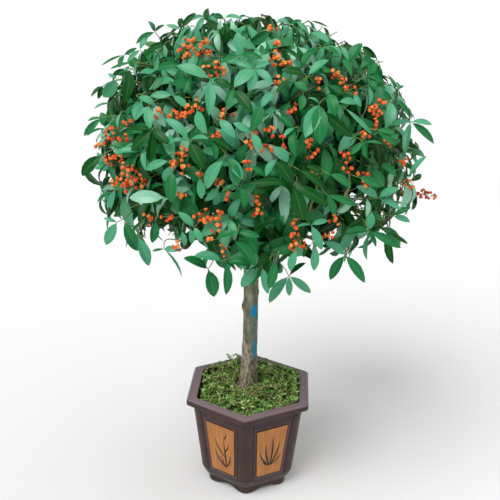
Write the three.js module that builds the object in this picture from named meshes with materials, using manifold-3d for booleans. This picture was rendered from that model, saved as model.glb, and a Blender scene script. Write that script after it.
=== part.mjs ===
// An orange sweet osmanthus in bloom, trained as a round head on one clear stem, in a six-sided pot.
// Millimetres, +Z up. The origin is on the ground under the pot's axis, and -Y is the front, where a
// pot corner points. Pot, soil, trunk, boughs and foliage are worked out from the sizes below by lofts
// and a seeded growing rule.
import * as THREE from "three";
import { mergeVertices } from "three/addons/utils/BufferGeometryUtils.js";
import Module from "manifold-3d";

const wasm = await Module();
wasm.setup();

// Driving sizes
const clearance = 0.3; // left between touching pieces
const pot = {
  sides: 6,
  height: 305, // top of the rim
  rimCorner: 210, // centre to rim corner
  mouthCorner: 176, // centre to the corner of the opening
  shoulderCorner: 187,
  shoulderLevel: 276, // the flat sides end here, under the rim
  waistCorner: 159,
  waistLevel: 58, // the flat sides start here
  footCorner: 137,
  footLevel: 22,
  floorUnder: 18, // underside of the floor, between the feet
  floorTop: 34,
  corner: 18, // how far the rounded corner column runs along each side
  scallopWidth: 92,
  scallopHeight: 16,
};
const panel = {
  low: 70,
  high: 240,
  halfLow: 40,
  halfHigh: 51,
  frame: 8, // sunk margin round the panel
  sunk: 3,
  thick: 2.2,
};
const soil = {
  wallLevel: 268, // at the pot's wall
  bankCorner: 120,
  bankLevel: 280,
  crownCorner: 46,
  crownLevel: 286, // round the trunk's foot
  gap: 0.7, // to the pot's wall
};
const trunk = {
  sides: 10,
  tip: 930,
  flareFade: 45, // the foot's shift to the left and back fades over this height
  flareShift: [-7, 2],
  leanFrom: 650,
  leanBy: 9, // to the right at the tip
};
const rootLobes = { count: 4, by: 2.6, fade: 35, turn: 0.6 };
const knob = { level: 571, turn: Math.PI, by: 6.5, tall: 11, wide: 0.45 };
const scar = { level: 440, turn: Math.PI, by: 2.2, tall: 8, wide: 0.9 };
const crown = {
  centre: new THREE.Vector3(2, 0, 1003),
  spread: 438, // half width at the widest level
  rise: 382, // from the widest level to the top
  drop: 246, // from the widest level to the underside
  squarenessUp: 2.5, // 2 is an ellipsoid, more is boxier
  squarenessDown: 3,
  heart: 0.42, // share of the reach that only boughs use
};
// The masses stand in tiers round the trunk: how many, where the first one stands as a share of the step
// between them, how far up they point in degrees, and between which levels their boughs leave the trunk.
const tiers = [
  { count: 1, phase: 0, elevation: 90, low: 930, high: 930 },
  { count: 5, phase: 0.25, elevation: 48, low: 850, high: 876 },
  { count: 7, phase: 0.25, elevation: 8, low: 788, high: 824 },
  { count: 6, phase: 0, elevation: -38, low: 730, high: 758 },
];
const bough = { sides: 5, root: 8, tip: 5.5 };
// The pad is the dense layer of each mass that its shoots stand out of. Outer is a share of the reach,
// and widest the greatest angle between its rim and the mass's own direction.
const pad = { sides: 8, outer: 0.87, thick: 26, widest: 0.62, lump: 7 };
// Every third spray is a shoot with pairs of leaves, and the others are one pair rooted in the pad.
const sprays = { count: 8, sunk: 20, shootEvery: 3, pairs: 2, pairStep: 17, spread: 0.84 };
const shoot = { sides: 3, root: 4, tip: 2.4, share: 0.93, reach: 1.07 };
const leaf = { length: 122, width: 46, thick: 2.6, arch: 9, fold: 5 };
// How a leaf is turned: its angle from the shoot, its droop, its roll and how often it tries.
const leafTurn = { least: 0.75, most: 1.25, droop: 0.4, roll: 1.2, tries: 12, step: 0.25, shrink: 0.03 };
const blossom = { radius: 15, clusters: 1, tries: 30 };
const cover = { inner: 56, outer: 160, thick: 9, sprigs: 2, sprigHeight: 28 };
const colours = {
  clay: { color: 0x4a3838, roughness: 0.6, metalness: 0 },
  ochre: { color: 0xb8803c, roughness: 0.6, metalness: 0 },
  earth: { color: 0x3a2c20, roughness: 0.95, metalness: 0 },
  cover: { color: 0x5a8c32, roughness: 0.8, metalness: 0 },
  bark: { color: 0x80735f, roughness: 0.9, metalness: 0 },
  foliage: { color: 0x2f7f5c, roughness: 0.5, metalness: 0 },
};

const up = new THREE.Vector3(0, 0, 1);
const goldenAngle = Math.PI * (3 - Math.sqrt(5));
const skew = new THREE.Vector3(0.31, 0.17, 0.93); // any direction that no shoot has
const group = new THREE.Group();

// Small helpers

function seeded(seed) {
  let state = seed >>> 0;
  return () => {
    state = (state + 0x6d2b79f5) >>> 0;
    let t = state;
    t = Math.imul(t ^ (t >>> 15), t | 1);
    t ^= t + Math.imul(t ^ (t >>> 7), t | 61);
    return ((t ^ (t >>> 14)) >>> 0) / 4294967296;
  };
}

function mix(a, b, share) {
  return a + (b - a) * share;
}

function flatWay(turn) {
  return new THREE.Vector3(Math.cos(turn), Math.sin(turn), 0);
}

function middleOfSide(k) {
  return -Math.PI / 2 + ((k + 0.5) * 2 * Math.PI) / pot.sides;
}

// A closed mesh with shared vertices becomes a solid. Vertices closer than `near` are merged.
function solidOf(geometry, near = 1e-4) {
  const bare = new THREE.BufferGeometry().setAttribute("position", geometry.getAttribute("position"));
  if (geometry.index) bare.setIndex(geometry.index);
  const merged = mergeVertices(bare, near);
  return new wasm.Manifold(
    new wasm.Mesh({
      numProp: 3,
      vertProperties: new Float32Array(merged.attributes.position.array),
      triVerts: new Uint32Array(merged.index.array),
    }),
  );
}

// Only the largest outer body is kept, so that no scrap and no sealed hollow is left.
function largestBody(solid) {
  const bodies = solid.decompose();
  return bodies.reduce((best, body) => (body.volume() > best.volume() ? body : best), bodies[0]);
}

function geometryOf(solid) {
  const made = solid.getMesh();
  const points = new Float32Array(made.numVert * 3);
  for (let i = 0; i < made.numVert; i++) {
    points.set(made.vertProperties.subarray(i * made.numProp, i * made.numProp + 3), i * 3);
  }
  const geometry = new THREE.BufferGeometry();
  geometry.setAttribute("position", new THREE.BufferAttribute(points, 3));
  geometry.setIndex(new THREE.BufferAttribute(new Uint32Array(made.triVerts), 1));
  geometry.computeVertexNormals();
  return geometry;
}

// Whether the surface stays closed when its vertices are rounded to a ten-thousandth, with no edge twice.
function isSound(geometry) {
  const places = geometry.getAttribute("position");
  const names = Array.from({ length: places.count }, (_, i) =>
    [places.getX(i), places.getY(i), places.getZ(i)].map((v) => v.toFixed(4)).join(),
  );
  const edges = new Set();
  const corners = geometry.index.array;
  for (let i = 0; i < corners.length; i += 3) {
    const [a, b, c] = [names[corners[i]], names[corners[i + 1]], names[corners[i + 2]]];
    if (a === b || b === c || c === a) continue;
    for (const edge of [`${a} ${b}`, `${b} ${c}`, `${c} ${a}`]) {
      if (edges.has(edge)) return false;
      edges.add(edge);
    }
  }
  return [...edges].every((edge) => edges.has(edge.split(" ").reverse().join(" ")));
}

function addNode(name, solid, look) {
  const mesh = new THREE.Mesh(geometryOf(solid), new THREE.MeshStandardMaterial(colours[look]));
  mesh.name = name;
  group.add(mesh);
}

// Rings of equally many points, joined in order, with the first and last ring closed by a fan round its
// middle.
function loft(rings) {
  const n = rings[0].length;
  const points = rings.flat();
  const index = [];
  for (let r = 0; r + 1 < rings.length; r++) {
    for (let k = 0; k < n; k++) {
      const a = r * n + k;
      const b = r * n + ((k + 1) % n);
      index.push(a, b, b + n, a, b + n, a + n);
    }
  }
  const ends = [
    [0, true],
    [(rings.length - 1) * n, false],
  ];
  for (const [start, first] of ends) {
    const middle = new THREE.Vector3();
    for (let k = 0; k < n; k++) middle.addScaledVector(points[start + k], 1 / n);
    points.push(middle);
    for (let k = 0; k < n; k++) {
      const pair = [start + k, start + ((k + 1) % n)];
      if (first) pair.reverse();
      index.push(...pair, points.length - 1);
    }
  }
  const geometry = new THREE.BufferGeometry().setFromPoints(points);
  geometry.setIndex(index);
  return geometry;
}

// Pot

// One ring of the pot: a hexagon of this corner radius, its corners rounded over `round` along each side.
function hexRing(cornerRadius, level, round) {
  const ring = [];
  const filletDip = 0.268 * round; // how far a fillet's middle lies inside a 120 degree corner
  for (let k = 0; k < pot.sides; k++) {
    const turn = -Math.PI / 2 + (k * 2 * Math.PI) / pot.sides;
    const corner = flatWay(turn);
    const edge = Math.PI / 2 + Math.PI / pot.sides; // between a corner's own direction and its two edges
    const place = corner.clone().multiplyScalar(cornerRadius).setZ(level);
    ring.push(place.clone().addScaledVector(flatWay(turn - edge), round));
    ring.push(corner.clone().multiplyScalar(cornerRadius - filletDip).setZ(level));
    ring.push(place.clone().addScaledVector(flatWay(turn + edge), round));
  }
  return ring;
}

// Corner radius of the inner wall at a level.
const innerWall = [
  [pot.mouthCorner, pot.height - 3],
  [170, 262],
  [146, 66],
  [128, pot.floorTop],
];
function innerCorner(level) {
  for (let i = 0; i + 1 < innerWall.length; i++) {
    const [high, low] = [innerWall[i], innerWall[i + 1]];
    if (level >= low[1]) return mix(low[0], high[0], (level - low[1]) / (high[1] - low[1]));
  }
  return innerWall[innerWall.length - 1][0];
}

// Places things on side k: x along the side, y up the slope, z out of it, from the middle of the side at
// a level.
function sideFrame(k, level) {
  const apothem = Math.cos(Math.PI / pot.sides);
  const share = (level - pot.waistLevel) / (pot.shoulderLevel - pot.waistLevel);
  const out = mix(pot.waistCorner, pot.shoulderCorner, share) * apothem;
  const turn = middleOfSide(k);
  const outward = flatWay(turn);
  const rise = pot.shoulderLevel - pot.waistLevel;
  const lean = (pot.shoulderCorner - pot.waistCorner) * apothem;
  const slope = outward.clone().multiplyScalar(lean).setZ(rise).normalize();
  const across = flatWay(turn + Math.PI / 2);
  const normal = across.clone().cross(slope);
  const frame = new THREE.Matrix4().makeBasis(across, slope, normal);
  return frame.setPosition(outward.multiplyScalar(out).setZ(level));
}

function slab(halfLow, halfHigh, tall, depth) {
  const shape = new THREE.Shape();
  shape.moveTo(-halfLow, 0);
  shape.lineTo(halfLow, 0);
  shape.lineTo(halfHigh, tall);
  shape.lineTo(-halfHigh, tall);
  return new THREE.ExtrudeGeometry(shape, { depth, bevelEnabled: false });
}

// Rings from under the floor out over the foot, up the flat sides, over the rim and down the inner wall.
function potBody() {
  const rimRound = 8;
  const mouthRound = 9;
  const rings = [
    hexRing(112, pot.floorUnder, 10),
    hexRing(116, 0, 10),
    hexRing(131, 0, 14),
    hexRing(pot.footCorner, 9, 15),
    hexRing(pot.footCorner, pot.footLevel, 15),
    hexRing(141, 27, 16),
    hexRing(156, 49, pot.corner),
    hexRing(pot.waistCorner, pot.waistLevel, pot.corner),
    hexRing(pot.shoulderCorner, pot.shoulderLevel, pot.corner),
    hexRing(192, 282, 14),
    hexRing(206, 288, rimRound),
    hexRing(pot.rimCorner, 292, rimRound),
    hexRing(pot.rimCorner, 299, rimRound),
    hexRing(203, pot.height, rimRound),
    hexRing(pot.mouthCorner + 2, pot.height, mouthRound),
    ...innerWall.map(([cornerRadius, level]) => hexRing(cornerRadius, level, mouthRound)),
  ];
  let body = solidOf(loft(rings));
  const start = panel.low - panel.frame;
  const reach = panel.high + panel.frame - start;
  const cutDepth = panel.sunk + 5; // the cutter stands a little out of the side
  for (let k = 0; k < pot.sides; k++) {
    const recess = slab(panel.halfLow + panel.frame, panel.halfHigh + panel.frame, reach, cutDepth);
    const place = sideFrame(k, start).multiply(new THREE.Matrix4().makeTranslation(0, 0, -panel.sunk));
    body = body.subtract(solidOf(recess.applyMatrix4(place)));
    body = body.subtract(solidOf(scallop(k)));
  }
  return largestBody(body);
}

// The cutter for the arch between two feet, a smooth hump: a cosine raised to a power.
function scallop(k) {
  const half = pot.scallopWidth / 2;
  const [steps, power, below, inner, depth] = [6, 1.4, -5, 85, 70];
  const shape = new THREE.Shape();
  shape.moveTo(-half, below);
  for (let i = 0; i <= steps; i++) {
    const x = mix(-half, half, i / steps);
    shape.lineTo(x, pot.scallopHeight * Math.cos((Math.PI * x) / (2 * half)) ** power);
  }
  shape.lineTo(half, below);
  const geometry = new THREE.ExtrudeGeometry(shape, { depth, bevelEnabled: false });
  const outward = flatWay(middleOfSide(k));
  const across = flatWay(middleOfSide(k) + Math.PI / 2);
  const frame = new THREE.Matrix4().makeBasis(across, up, outward);
  return geometry.applyMatrix4(frame.setPosition(outward.clone().multiplyScalar(inner)));
}

function panelPlate(k) {
  const plate = slab(panel.halfLow, panel.halfHigh, panel.high - panel.low, panel.thick);
  const depth = clearance - panel.sunk;
  const place = sideFrame(k, panel.low).multiply(new THREE.Matrix4().makeTranslation(0, 0, depth));
  return solidOf(plate.applyMatrix4(place));
}

// Soil and the creeping plants on it

function soilBody() {
  const levels = [pot.floorTop + clearance, 66, 262, soil.wallLevel];
  const rings = levels.map((level) => hexRing(innerCorner(level) - soil.gap, level, 9));
  rings.push(hexRing(soil.bankCorner, soil.bankLevel, 6));
  rings.push(hexRing(soil.crownCorner, soil.crownLevel, 4));
  return solidOf(loft(rings));
}

function soilLevel(cornerRadius) {
  if (cornerRadius <= soil.crownCorner) return soil.crownLevel;
  if (cornerRadius <= soil.bankCorner) {
    const share = (cornerRadius - soil.crownCorner) / (soil.bankCorner - soil.crownCorner);
    return mix(soil.crownLevel, soil.bankLevel, share);
  }
  const edge = innerCorner(soil.wallLevel) - soil.gap;
  return mix(soil.bankLevel, soil.wallLevel, (cornerRadius - soil.bankCorner) / (edge - soil.bankCorner));
}

// A point over the soil in wedge k: `share` runs from one pot corner to the next.
function overSoil(k, share, cornerRadius, lift) {
  const [a, b] = [0, 1].map((j) => flatWay(-Math.PI / 2 + ((k + j) * 2 * Math.PI) / pot.sides));
  return a.lerp(b, share).multiplyScalar(cornerRadius).setZ(soilLevel(cornerRadius) + lift);
}

// One wedge of the low creeping plants: a lumpy mat with sprigs standing out of it.
function coverPatch(k) {
  const random = seeded(500 + k);
  const radii = [cover.inner, 88, soil.bankCorner, cover.outer];
  const shares = [0.012, 0.34, 0.66, 0.988];
  const rows = radii.length;
  const columns = shares.length;
  const points = [];
  for (const top of [false, true]) {
    for (let r = 0; r < rows; r++) {
      for (let c = 0; c < columns; c++) {
        const rim = r === rows - 1 || r === 0 ? 0.6 : 1;
        const lift = top ? cover.thick * rim * mix(0.8, 1.5, random()) : clearance;
        points.push(overSoil(k, shares[c], radii[r], lift));
      }
    }
  }
  const index = [];
  const half = rows * columns;
  for (let r = 0; r + 1 < rows; r++) {
    for (let c = 0; c + 1 < columns; c++) {
      const a = r * columns + c;
      const [b, d, e] = [a + 1, a + columns, a + columns + 1];
      index.push(a, b, e, a, e, d);
      index.push(half + a, half + e, half + b, half + a, half + d, half + e);
    }
  }
  const edge = [];
  for (let c = 0; c + 1 < columns; c++) edge.push([c, c + 1]);
  for (let r = 0; r + 1 < rows; r++) edge.push([(r + 1) * columns - 1, (r + 2) * columns - 1]);
  for (let c = columns - 1; c > 0; c--) edge.push([half - columns + c, half - columns + c - 1]);
  for (let r = rows - 1; r > 0; r--) edge.push([r * columns, (r - 1) * columns]);
  for (const [a, b] of edge) index.push(a, b + half, b, a, a + half, b + half);
  const geometry = new THREE.BufferGeometry().setFromPoints(points);
  geometry.setIndex(index);
  const pieces = [solidOf(geometry)];
  for (let i = 0; i < cover.sprigs; i++) {
    const share = mix(0.14, 0.86, (i + random()) / cover.sprigs);
    const cornerRadius = mix(66, 146, random());
    const root = overSoil(k, share, cornerRadius, 4);
    const turn = random() * 2 * Math.PI;
    const along = flatWay(turn).setZ(mix(1, 1.8, random())).normalize();
    const facing = flatWay(turn + Math.PI).setZ(1).normalize();
    const length = cover.sprigHeight * mix(0.8, 1.25, random());
    const size = { length, width: length * 0.5, thick: 1.2, arch: 1, fold: 1 };
    pieces.push(leafSolid(root, along, facing, size));
  }
  return largestBody(wasm.Manifold.union(pieces));
}

// Trunk and boughs

// A limb along a path, its radius and its way given at each point, with its rings square to that way.
// Extra may add to the radius by level and by turn.
function limb(path, ways, radii, sides, extra = () => 0) {
  let side = new THREE.Vector3(1, 0, 0);
  const rings = path.map((place, i) => {
    side = side.clone().addScaledVector(ways[i], -side.dot(ways[i])).normalize();
    const across = ways[i].clone().cross(side);
    return Array.from({ length: sides }, (_, k) => {
      const turn = (k * 2 * Math.PI) / sides;
      const radius = radii[i] + extra(place.z, turn);
      return place
        .clone()
        .addScaledVector(side, radius * Math.cos(turn))
        .addScaledVector(across, radius * Math.sin(turn));
    });
  });
  return solidOf(loft(rings));
}

// The same along a curve, tapering evenly from one radius to the other.
function taperedLimb(curve, from, to, sides, steps) {
  const shares = Array.from({ length: steps + 1 }, (_, i) => i / steps);
  const path = shares.map((t) => curve.getPoint(t));
  const ways = shares.map((t) => curve.getTangent(t));
  return limb(path, ways, shares.map((t) => mix(from, to, t)), sides);
}

// Radius of the trunk by level: root flare, clear stem, a swelling under the fork and a taper.
const trunkTaper = [
  [286, 34],
  [300, 31.5],
  [325, 27.5],
  [360, 24.3],
  [410, 22],
  [480, 20.8],
  [600, 20.4],
  [720, 20.8],
  [760, 20.6],
  [820, 17.5],
  [880, 14],
  [930, 11],
];
function trunkRadius(level) {
  const above = trunkTaper.findIndex(([z]) => z >= Math.min(level, trunk.tip));
  const [low, high] = [trunkTaper[Math.max(0, above - 1)], trunkTaper[Math.max(1, above)]];
  return mix(low[1], high[1], THREE.MathUtils.clamp((level - low[0]) / (high[0] - low[0]), 0, 1));
}

// The stem is nearly upright: its flare leans to the left and its upper part a little to the right.
function trunkAxis(level) {
  const flare = Math.exp(-(level - soil.crownLevel) / trunk.flareFade);
  const lean = Math.max(0, level - trunk.leanFrom) / (trunk.tip - trunk.leanFrom);
  const [left, back] = trunk.flareShift;
  return new THREE.Vector3(left * flare + trunk.leanBy * lean * lean, back * flare, level);
}

// Root lobes at the foot, a pruned knob on the left and a low ring scar.
function trunkBulge(level, turn) {
  const fade = Math.exp(-(level - soil.crownLevel) / rootLobes.fade);
  const lobes = rootLobes.by * fade * Math.cos(rootLobes.count * turn + rootLobes.turn);
  const bump = ({ level: middle, turn: facing, by, tall, wide }) => {
    const away = Math.abs(((turn - facing + 3 * Math.PI) % (2 * Math.PI)) - Math.PI);
    return by * Math.exp(-(((level - middle) / tall) ** 2) - (away / wide) ** 2);
  };
  return lobes + bump(knob) + bump(scar);
}

function trunkSolid(extra = 0) {
  const levels = [soil.crownLevel + clearance, 298, 312, 332, 360, 395, 428, scar.level, 452, 500, 556];
  levels.push(knob.level, 586, trunk.leanFrom, 720, 775, 820, 875, trunk.tip + extra);
  const radii = levels.map((level) => trunkRadius(level) + extra);
  return limb(levels.map(trunkAxis), levels.map(() => up), radii, trunk.sides, trunkBulge);
}

// Distance from the crown's centre to its outline in a direction.
function reachOf(way) {
  const above = way.z > 0;
  const vertical = above ? crown.rise : crown.drop;
  const p = above ? crown.squarenessUp : crown.squarenessDown;
  const flat = Math.hypot(way.x, way.y) / crown.spread;
  const tall = Math.abs(way.z) / vertical;
  return (flat ** p + tall ** p) ** (-1 / p);
}

// The direction of each mass from the crown's centre and the level of its bough, from the top tier down.
function massPlan() {
  const random = seeded(11);
  const plan = [];
  tiers.forEach(({ count, phase, elevation, low, high }) => {
    for (let k = 0; k < count; k++) {
      const turn = ((k + phase + mix(-0.06, 0.06, random())) * 2 * Math.PI) / count;
      const lift = THREE.MathUtils.degToRad(count === 1 ? elevation : elevation + mix(-5, 5, random()));
      const way = flatWay(turn).multiplyScalar(Math.cos(lift)).setZ(Math.sin(lift));
      plan.push({ way, level: mix(low, high, ((k * 2) % count) / Math.max(1, count - 1)) });
    }
  });
  return plan;
}
const masses = massPlan();
const ways = masses.map((mass) => mass.way);

function at(way, share) {
  return crown.centre.clone().addScaledVector(way, reachOf(way) * share);
}

// A bough leaves the trunk half outwards, half upwards, and bends over towards its mass. The first one is
// the leader, which goes on from the trunk's tip.
function boughCurve(i) {
  const tip = at(ways[i], crown.heart);
  const root = trunkAxis(masses[i].level + (i === 0 ? clearance : 0));
  const outward = ways[i].clone().setZ(0).normalize().add(up);
  const start = i === 0 ? up.clone() : outward.normalize();
  const ending = tip.clone().sub(root).normalize().addScaledVector(ways[i], 0.5).normalize();
  const stretch = tip.distanceTo(root) * 0.4;
  const leaving = root.clone().addScaledVector(start, stretch);
  const arriving = tip.clone().addScaledVector(ending, -stretch);
  return new THREE.CubicBezierCurve3(root, leaving, arriving, tip);
}

function boughSolid(i, extra = 0) {
  const thick = i === 0 ? trunkRadius(trunk.tip) - 1 : bough.root;
  const solid = taperedLimb(boughCurve(i), thick + extra, bough.tip + extra, bough.sides, 3);
  return i === 0 ? solid : largestBody(solid.subtract(trunkSolid(clearance + 0.1)));
}

// Foliage

// A leaf of eight faces: a root, a tip, two sides, and a ridge that stands over the line from end to end.
function leafSolid(root, along, facing, size) {
  const out = facing.clone().addScaledVector(along, -facing.dot(along)).normalize();
  const across = along.clone().cross(out).normalize();
  const widest = root.clone().addScaledVector(along, size.length * 0.46);
  const ridge = widest.clone().addScaledVector(out, size.arch);
  const side = (sign) =>
    widest
      .clone()
      .addScaledVector(across, (sign * size.width) / 2)
      .addScaledVector(out, size.arch - size.fold);
  const points = [
    root,
    root.clone().addScaledVector(along, size.length),
    side(1),
    side(-1),
    ridge.clone().addScaledVector(out, size.thick / 2),
    ridge.clone().addScaledVector(out, -size.thick / 2),
  ];
  const index = [0, 4, 3, 0, 2, 4, 1, 3, 4, 1, 4, 2, 0, 3, 5, 0, 5, 2, 1, 5, 3, 1, 2, 5];
  const geometry = new THREE.BufferGeometry().setFromPoints(points);
  geometry.setIndex(index);
  const solid = solidOf(geometry);
  solid.corners = points;
  return solid;
}

function blobSolid(middle, radius, random) {
  const geometry = new THREE.OctahedronGeometry(radius, 0);
  geometry.deleteAttribute("normal");
  geometry.deleteAttribute("uv");
  geometry.rotateX(random() * 3).rotateY(random() * 3);
  geometry.translate(middle.x, middle.y, middle.z);
  return solidOf(geometry);
}

// The mass whose direction is nearest to this one.
function nearestMass(way) {
  return ways.reduce((best, other, i) => (way.dot(other) > way.dot(ways[best]) ? i : best), 0);
}

// How far a point is inside mass i's own space, a cone from the crown's centre between its neighbours.
function insideBy(i, place) {
  const from = place.clone().sub(crown.centre);
  let least = Infinity;
  for (let j = 0; j < ways.length; j++) {
    if (j !== i) least = Math.min(least, from.dot(ways[i].clone().sub(ways[j]).normalize()));
  }
  return least;
}

function fits(i, points, outline) {
  return points.every((place) => {
    const from = place.clone().sub(crown.centre);
    return insideBy(i, place) > clearance && from.length() < outline * reachOf(from.clone().normalize());
  });
}

// A direction in mass i's space: `turn` goes round the mass's own direction, `share` out to the wall.
function wayInMass(i, turn, share) {
  const side = new THREE.Vector3(0, 0, 1).cross(ways[i]).normalize();
  const other = ways[i].clone().cross(side);
  const spoke = side.multiplyScalar(Math.cos(turn)).addScaledVector(other, Math.sin(turn));
  let widest = pad.widest;
  for (let j = 0; j < ways.length; j++) {
    const wall = ways[i].clone().sub(ways[j]);
    const towards = -spoke.dot(wall);
    if (j !== i && towards > 0) widest = Math.min(widest, Math.atan(ways[i].dot(wall) / towards));
  }
  const angle = share * widest;
  return ways[i].clone().multiplyScalar(Math.cos(angle)).addScaledVector(spoke, Math.sin(angle));
}

// The dense layer of a mass: a lumpy pad just inside the outline, turned so that its corners reach into
// the corners of the mass's space. Each row is a share of the way out to its rim and a depth.
function padSolid(i, random) {
  const step = (2 * Math.PI) / pad.sides;
  const spread = (start) => {
    let sum = 0;
    for (let k = 0; k < pad.sides; k++) sum += wayInMass(i, start + k * step, 1).angleTo(ways[i]);
    return sum;
  };
  const starts = Array.from({ length: 12 }, (_, k) => (k * step) / 12);
  const start = starts.reduce((best, turn) => (spread(turn) > spread(best) ? turn : best), 0);
  const rows = [
    [0.5, pad.thick],
    [0.88, pad.thick * 0.7],
    [0.95, pad.thick * 0.35],
    [0.86, 5],
    [0.42, 0],
  ];
  const rings = rows.map(([share, depth]) =>
    Array.from({ length: pad.sides }, (_, k) => {
      const way = wayInMass(i, start + k * step, share * mix(0.95, 1.03, random()));
      return at(way, pad.outer).addScaledVector(way, -depth - mix(0, pad.lump, random()));
    }),
  );
  return solidOf(loft(rings));
}

// Sprays that stand clear of the round head, each by its own tip from the crown's centre.
const stragglers = [
  { tip: [503, -10, -96], blooms: true },
  { tip: [484, 20, 92] },
  { tip: [-488, -6, -22] },
  { tip: [-446, -60, -110] },
  { tip: [-400, -90, -205], pairs: 1 },
  { tip: [-218, -120, -282], pairs: 1 },
  { tip: [-104, -190, -318], pairs: 1 },
  { tip: [12, -150, -345], pairs: 1 },
  { tip: [75, -150, -350] },
  { tip: [132, -140, -312], pairs: 1 },
  { tip: [290, -110, -296], pairs: 1 },
  { tip: [-262, 20, 362] },
  { tip: [205, -20, 380] },
  { tip: [336, 40, 286] },
  { tip: [30, 474, -60] },
  { tip: [-60, 458, 90] },
  { tip: [-40, -478, -40] },
];

// One leaf near this angle from the axis, turned towards the light and drooping. It turns and shortens
// until it keeps to its mass's space and clear of the limbs, with its root in what the mass has so far and
// its outer part clear of that.
function tryLeaf(i, root, axis, turn, random, outline, limbs, others) {
  const side = skew.clone().cross(axis).normalize();
  const other = axis.clone().cross(side);
  for (let attempt = 0; attempt < leafTurn.tries; attempt++) {
    const angle = turn + mix(-leafTurn.step, leafTurn.step, random()) * attempt;
    const splay = mix(leafTurn.least, leafTurn.most, random());
    const along = axis
      .clone()
      .multiplyScalar(Math.cos(splay))
      .addScaledVector(side, Math.sin(splay) * Math.cos(angle))
      .addScaledVector(other, Math.sin(splay) * Math.sin(angle));
    along.z -= mix(0, leafTurn.droop, random());
    along.normalize();
    const roll = new THREE.Vector3(random() - 0.5, random() - 0.5, random() - 0.5);
    const facing = axis.clone().add(up).addScaledVector(roll, leafTurn.roll).normalize();
    const scale = mix(0.88, 1.1, random()) * (1 - leafTurn.shrink * attempt);
    const size = { ...leaf, length: leaf.length * scale, width: leaf.width * scale };
    const made = leafSolid(root, along, facing, size);
    if (!fits(i, made.corners, outline) || !made.intersect(limbs).isEmpty()) continue;
    const inner = sprays.sunk + 10;
    const outer = { ...size, length: size.length - inner };
    const free = leafSolid(root.clone().addScaledVector(along, inner), along, facing, outer);
    const crossing = others.some((other) => !free.intersect(other).isEmpty());
    const rooted = others.some((other) => !made.intersect(other).isEmpty());
    if (rooted && !crossing) return made;
  }
  return null;
}

function massSolid(i, limbs, seed) {
  const random = seeded(seed);
  const ending = boughCurve(i).getTangent(1);
  const foot = boughCurve(i).getPoint(1).addScaledVector(ending, clearance);
  const top = at(ways[i], pad.outer - 0.03);
  const bend = foot.clone().addScaledVector(ending, 25);
  const stem = new THREE.CubicBezierCurve3(foot, bend, at(ways[i], 0.6), top);
  const layer = largestBody(padSolid(i, random).subtract(limbs));
  const base = taperedLimb(stem, bough.tip, 4, bough.sides, 3).add(layer);
  let greens = wasm.Manifold.union([]);
  const starts = Array.from({ length: sprays.count }, (_, k) => {
    const turn = k * goldenAngle + random() * 0.5;
    const way = wayInMass(i, turn, sprays.spread * Math.sqrt((k + 0.4) / sprays.count));
    const end = k % sprays.shootEvery ? null : at(way, shoot.share * mix(0.97, 1.03, random()));
    return { way, end, reach: shoot.reach, pairs: sprays.pairs };
  });
  for (const straggler of stragglers) {
    const offset = new THREE.Vector3(...straggler.tip);
    const way = offset.clone().normalize();
    if (nearestMass(way) !== i) continue;
    const end = crown.centre.clone().addScaledVector(offset, straggler.blooms ? 0.97 : 0.8);
    starts.push({ pairs: 0, ...straggler, way, end, reach: 1.12, tip: crown.centre.clone().add(offset) });
  }
  for (const { way, end, reach, tip, blooms, pairs } of starts) {
    const under = tip ? ways[i].clone().lerp(way, 0.6).normalize() : way;
    const foothold = at(under, pad.outer).addScaledVector(under, -sprays.sunk);
    const quarter = random() * Math.PI;
    const roots = [foothold];
    if (end) {
      if (!fits(i, [end], 1.3)) continue;
      const line = new THREE.LineCurve3(foothold, end);
      greens = greens.add(taperedLimb(line, shoot.root, shoot.tip, shoot.sides, 1));
      const axis = end.clone().sub(foothold).normalize();
      roots.length = 0;
      for (let pair = 0; pair < pairs; pair++) {
        roots.push(end.clone().addScaledVector(axis, -3 - sprays.pairStep * pair));
      }
    }
    roots.forEach((root, pair) => {
      for (const half of [0, Math.PI]) {
        const turn = quarter + half + (pair * Math.PI) / 2;
        const made = tryLeaf(i, root, way, turn, random, reach, limbs, [base, greens]);
        if (made) greens = greens.add(made);
      }
    });
    if (tip && !blooms) {
      const ahead = tip.clone().sub(end);
      const size = { ...leaf, length: ahead.length() + 3, width: 34 };
      greens = greens.add(leafSolid(end.clone().addScaledVector(way, -3), ahead.normalize(), up, size));
    }
    if (blooms) greens = greens.add(blobSolid(end, blossom.radius, random));
  }
  let blobs = 0;
  for (let attempt = 0; attempt < blossom.tries && blobs < blossom.clusters; attempt++) {
    const way = wayInMass(i, random() * 2 * Math.PI, mix(0.1, 0.8, random()));
    const radius = blossom.radius * mix(0.85, 1.15, random());
    const blob = blobSolid(at(way, pad.outer + 0.01), radius, random);
    if (!blob.intersect(greens).isEmpty()) continue;
    greens = greens.add(blob);
    blobs++;
  }
  const whole = largestBody(base.add(greens)).simplify(leaf.thick / 20);
  return largestBody(solidOf(geometryOf(whole), 1e-3));
}

// A mass whose faces pinch together somewhere is grown again from the next seed.
function soundMass(i, limbs) {
  let seed = 100 + i;
  let solid = massSolid(i, limbs, seed);
  while (!isSound(geometryOf(solid))) {
    seed += masses.length;
    solid = massSolid(i, limbs, seed);
  }
  return solid;
}

// The whole plant

addNode("pot", potBody(), "clay");
for (let k = 0; k < pot.sides; k++) addNode(`panel_${k + 1}`, panelPlate(k), "ochre");
addNode("soil", soilBody(), "earth");
for (let k = 0; k < pot.sides; k++) addNode(`ground_cover_${k + 1}`, coverPatch(k), "cover");
addNode("trunk", trunkSolid(), "bark");
const limbs = [trunkSolid(2)];
masses.forEach((_, i) => {
  addNode(`bough_${i + 1}`, boughSolid(i), "bark");
  limbs.push(boughSolid(i, 2));
});
const allLimbs = wasm.Manifold.union(limbs);
masses.forEach((_, i) => addNode(`foliage_${i + 1}`, soundMass(i, allLimbs), "foliage"));

export default group;
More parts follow.
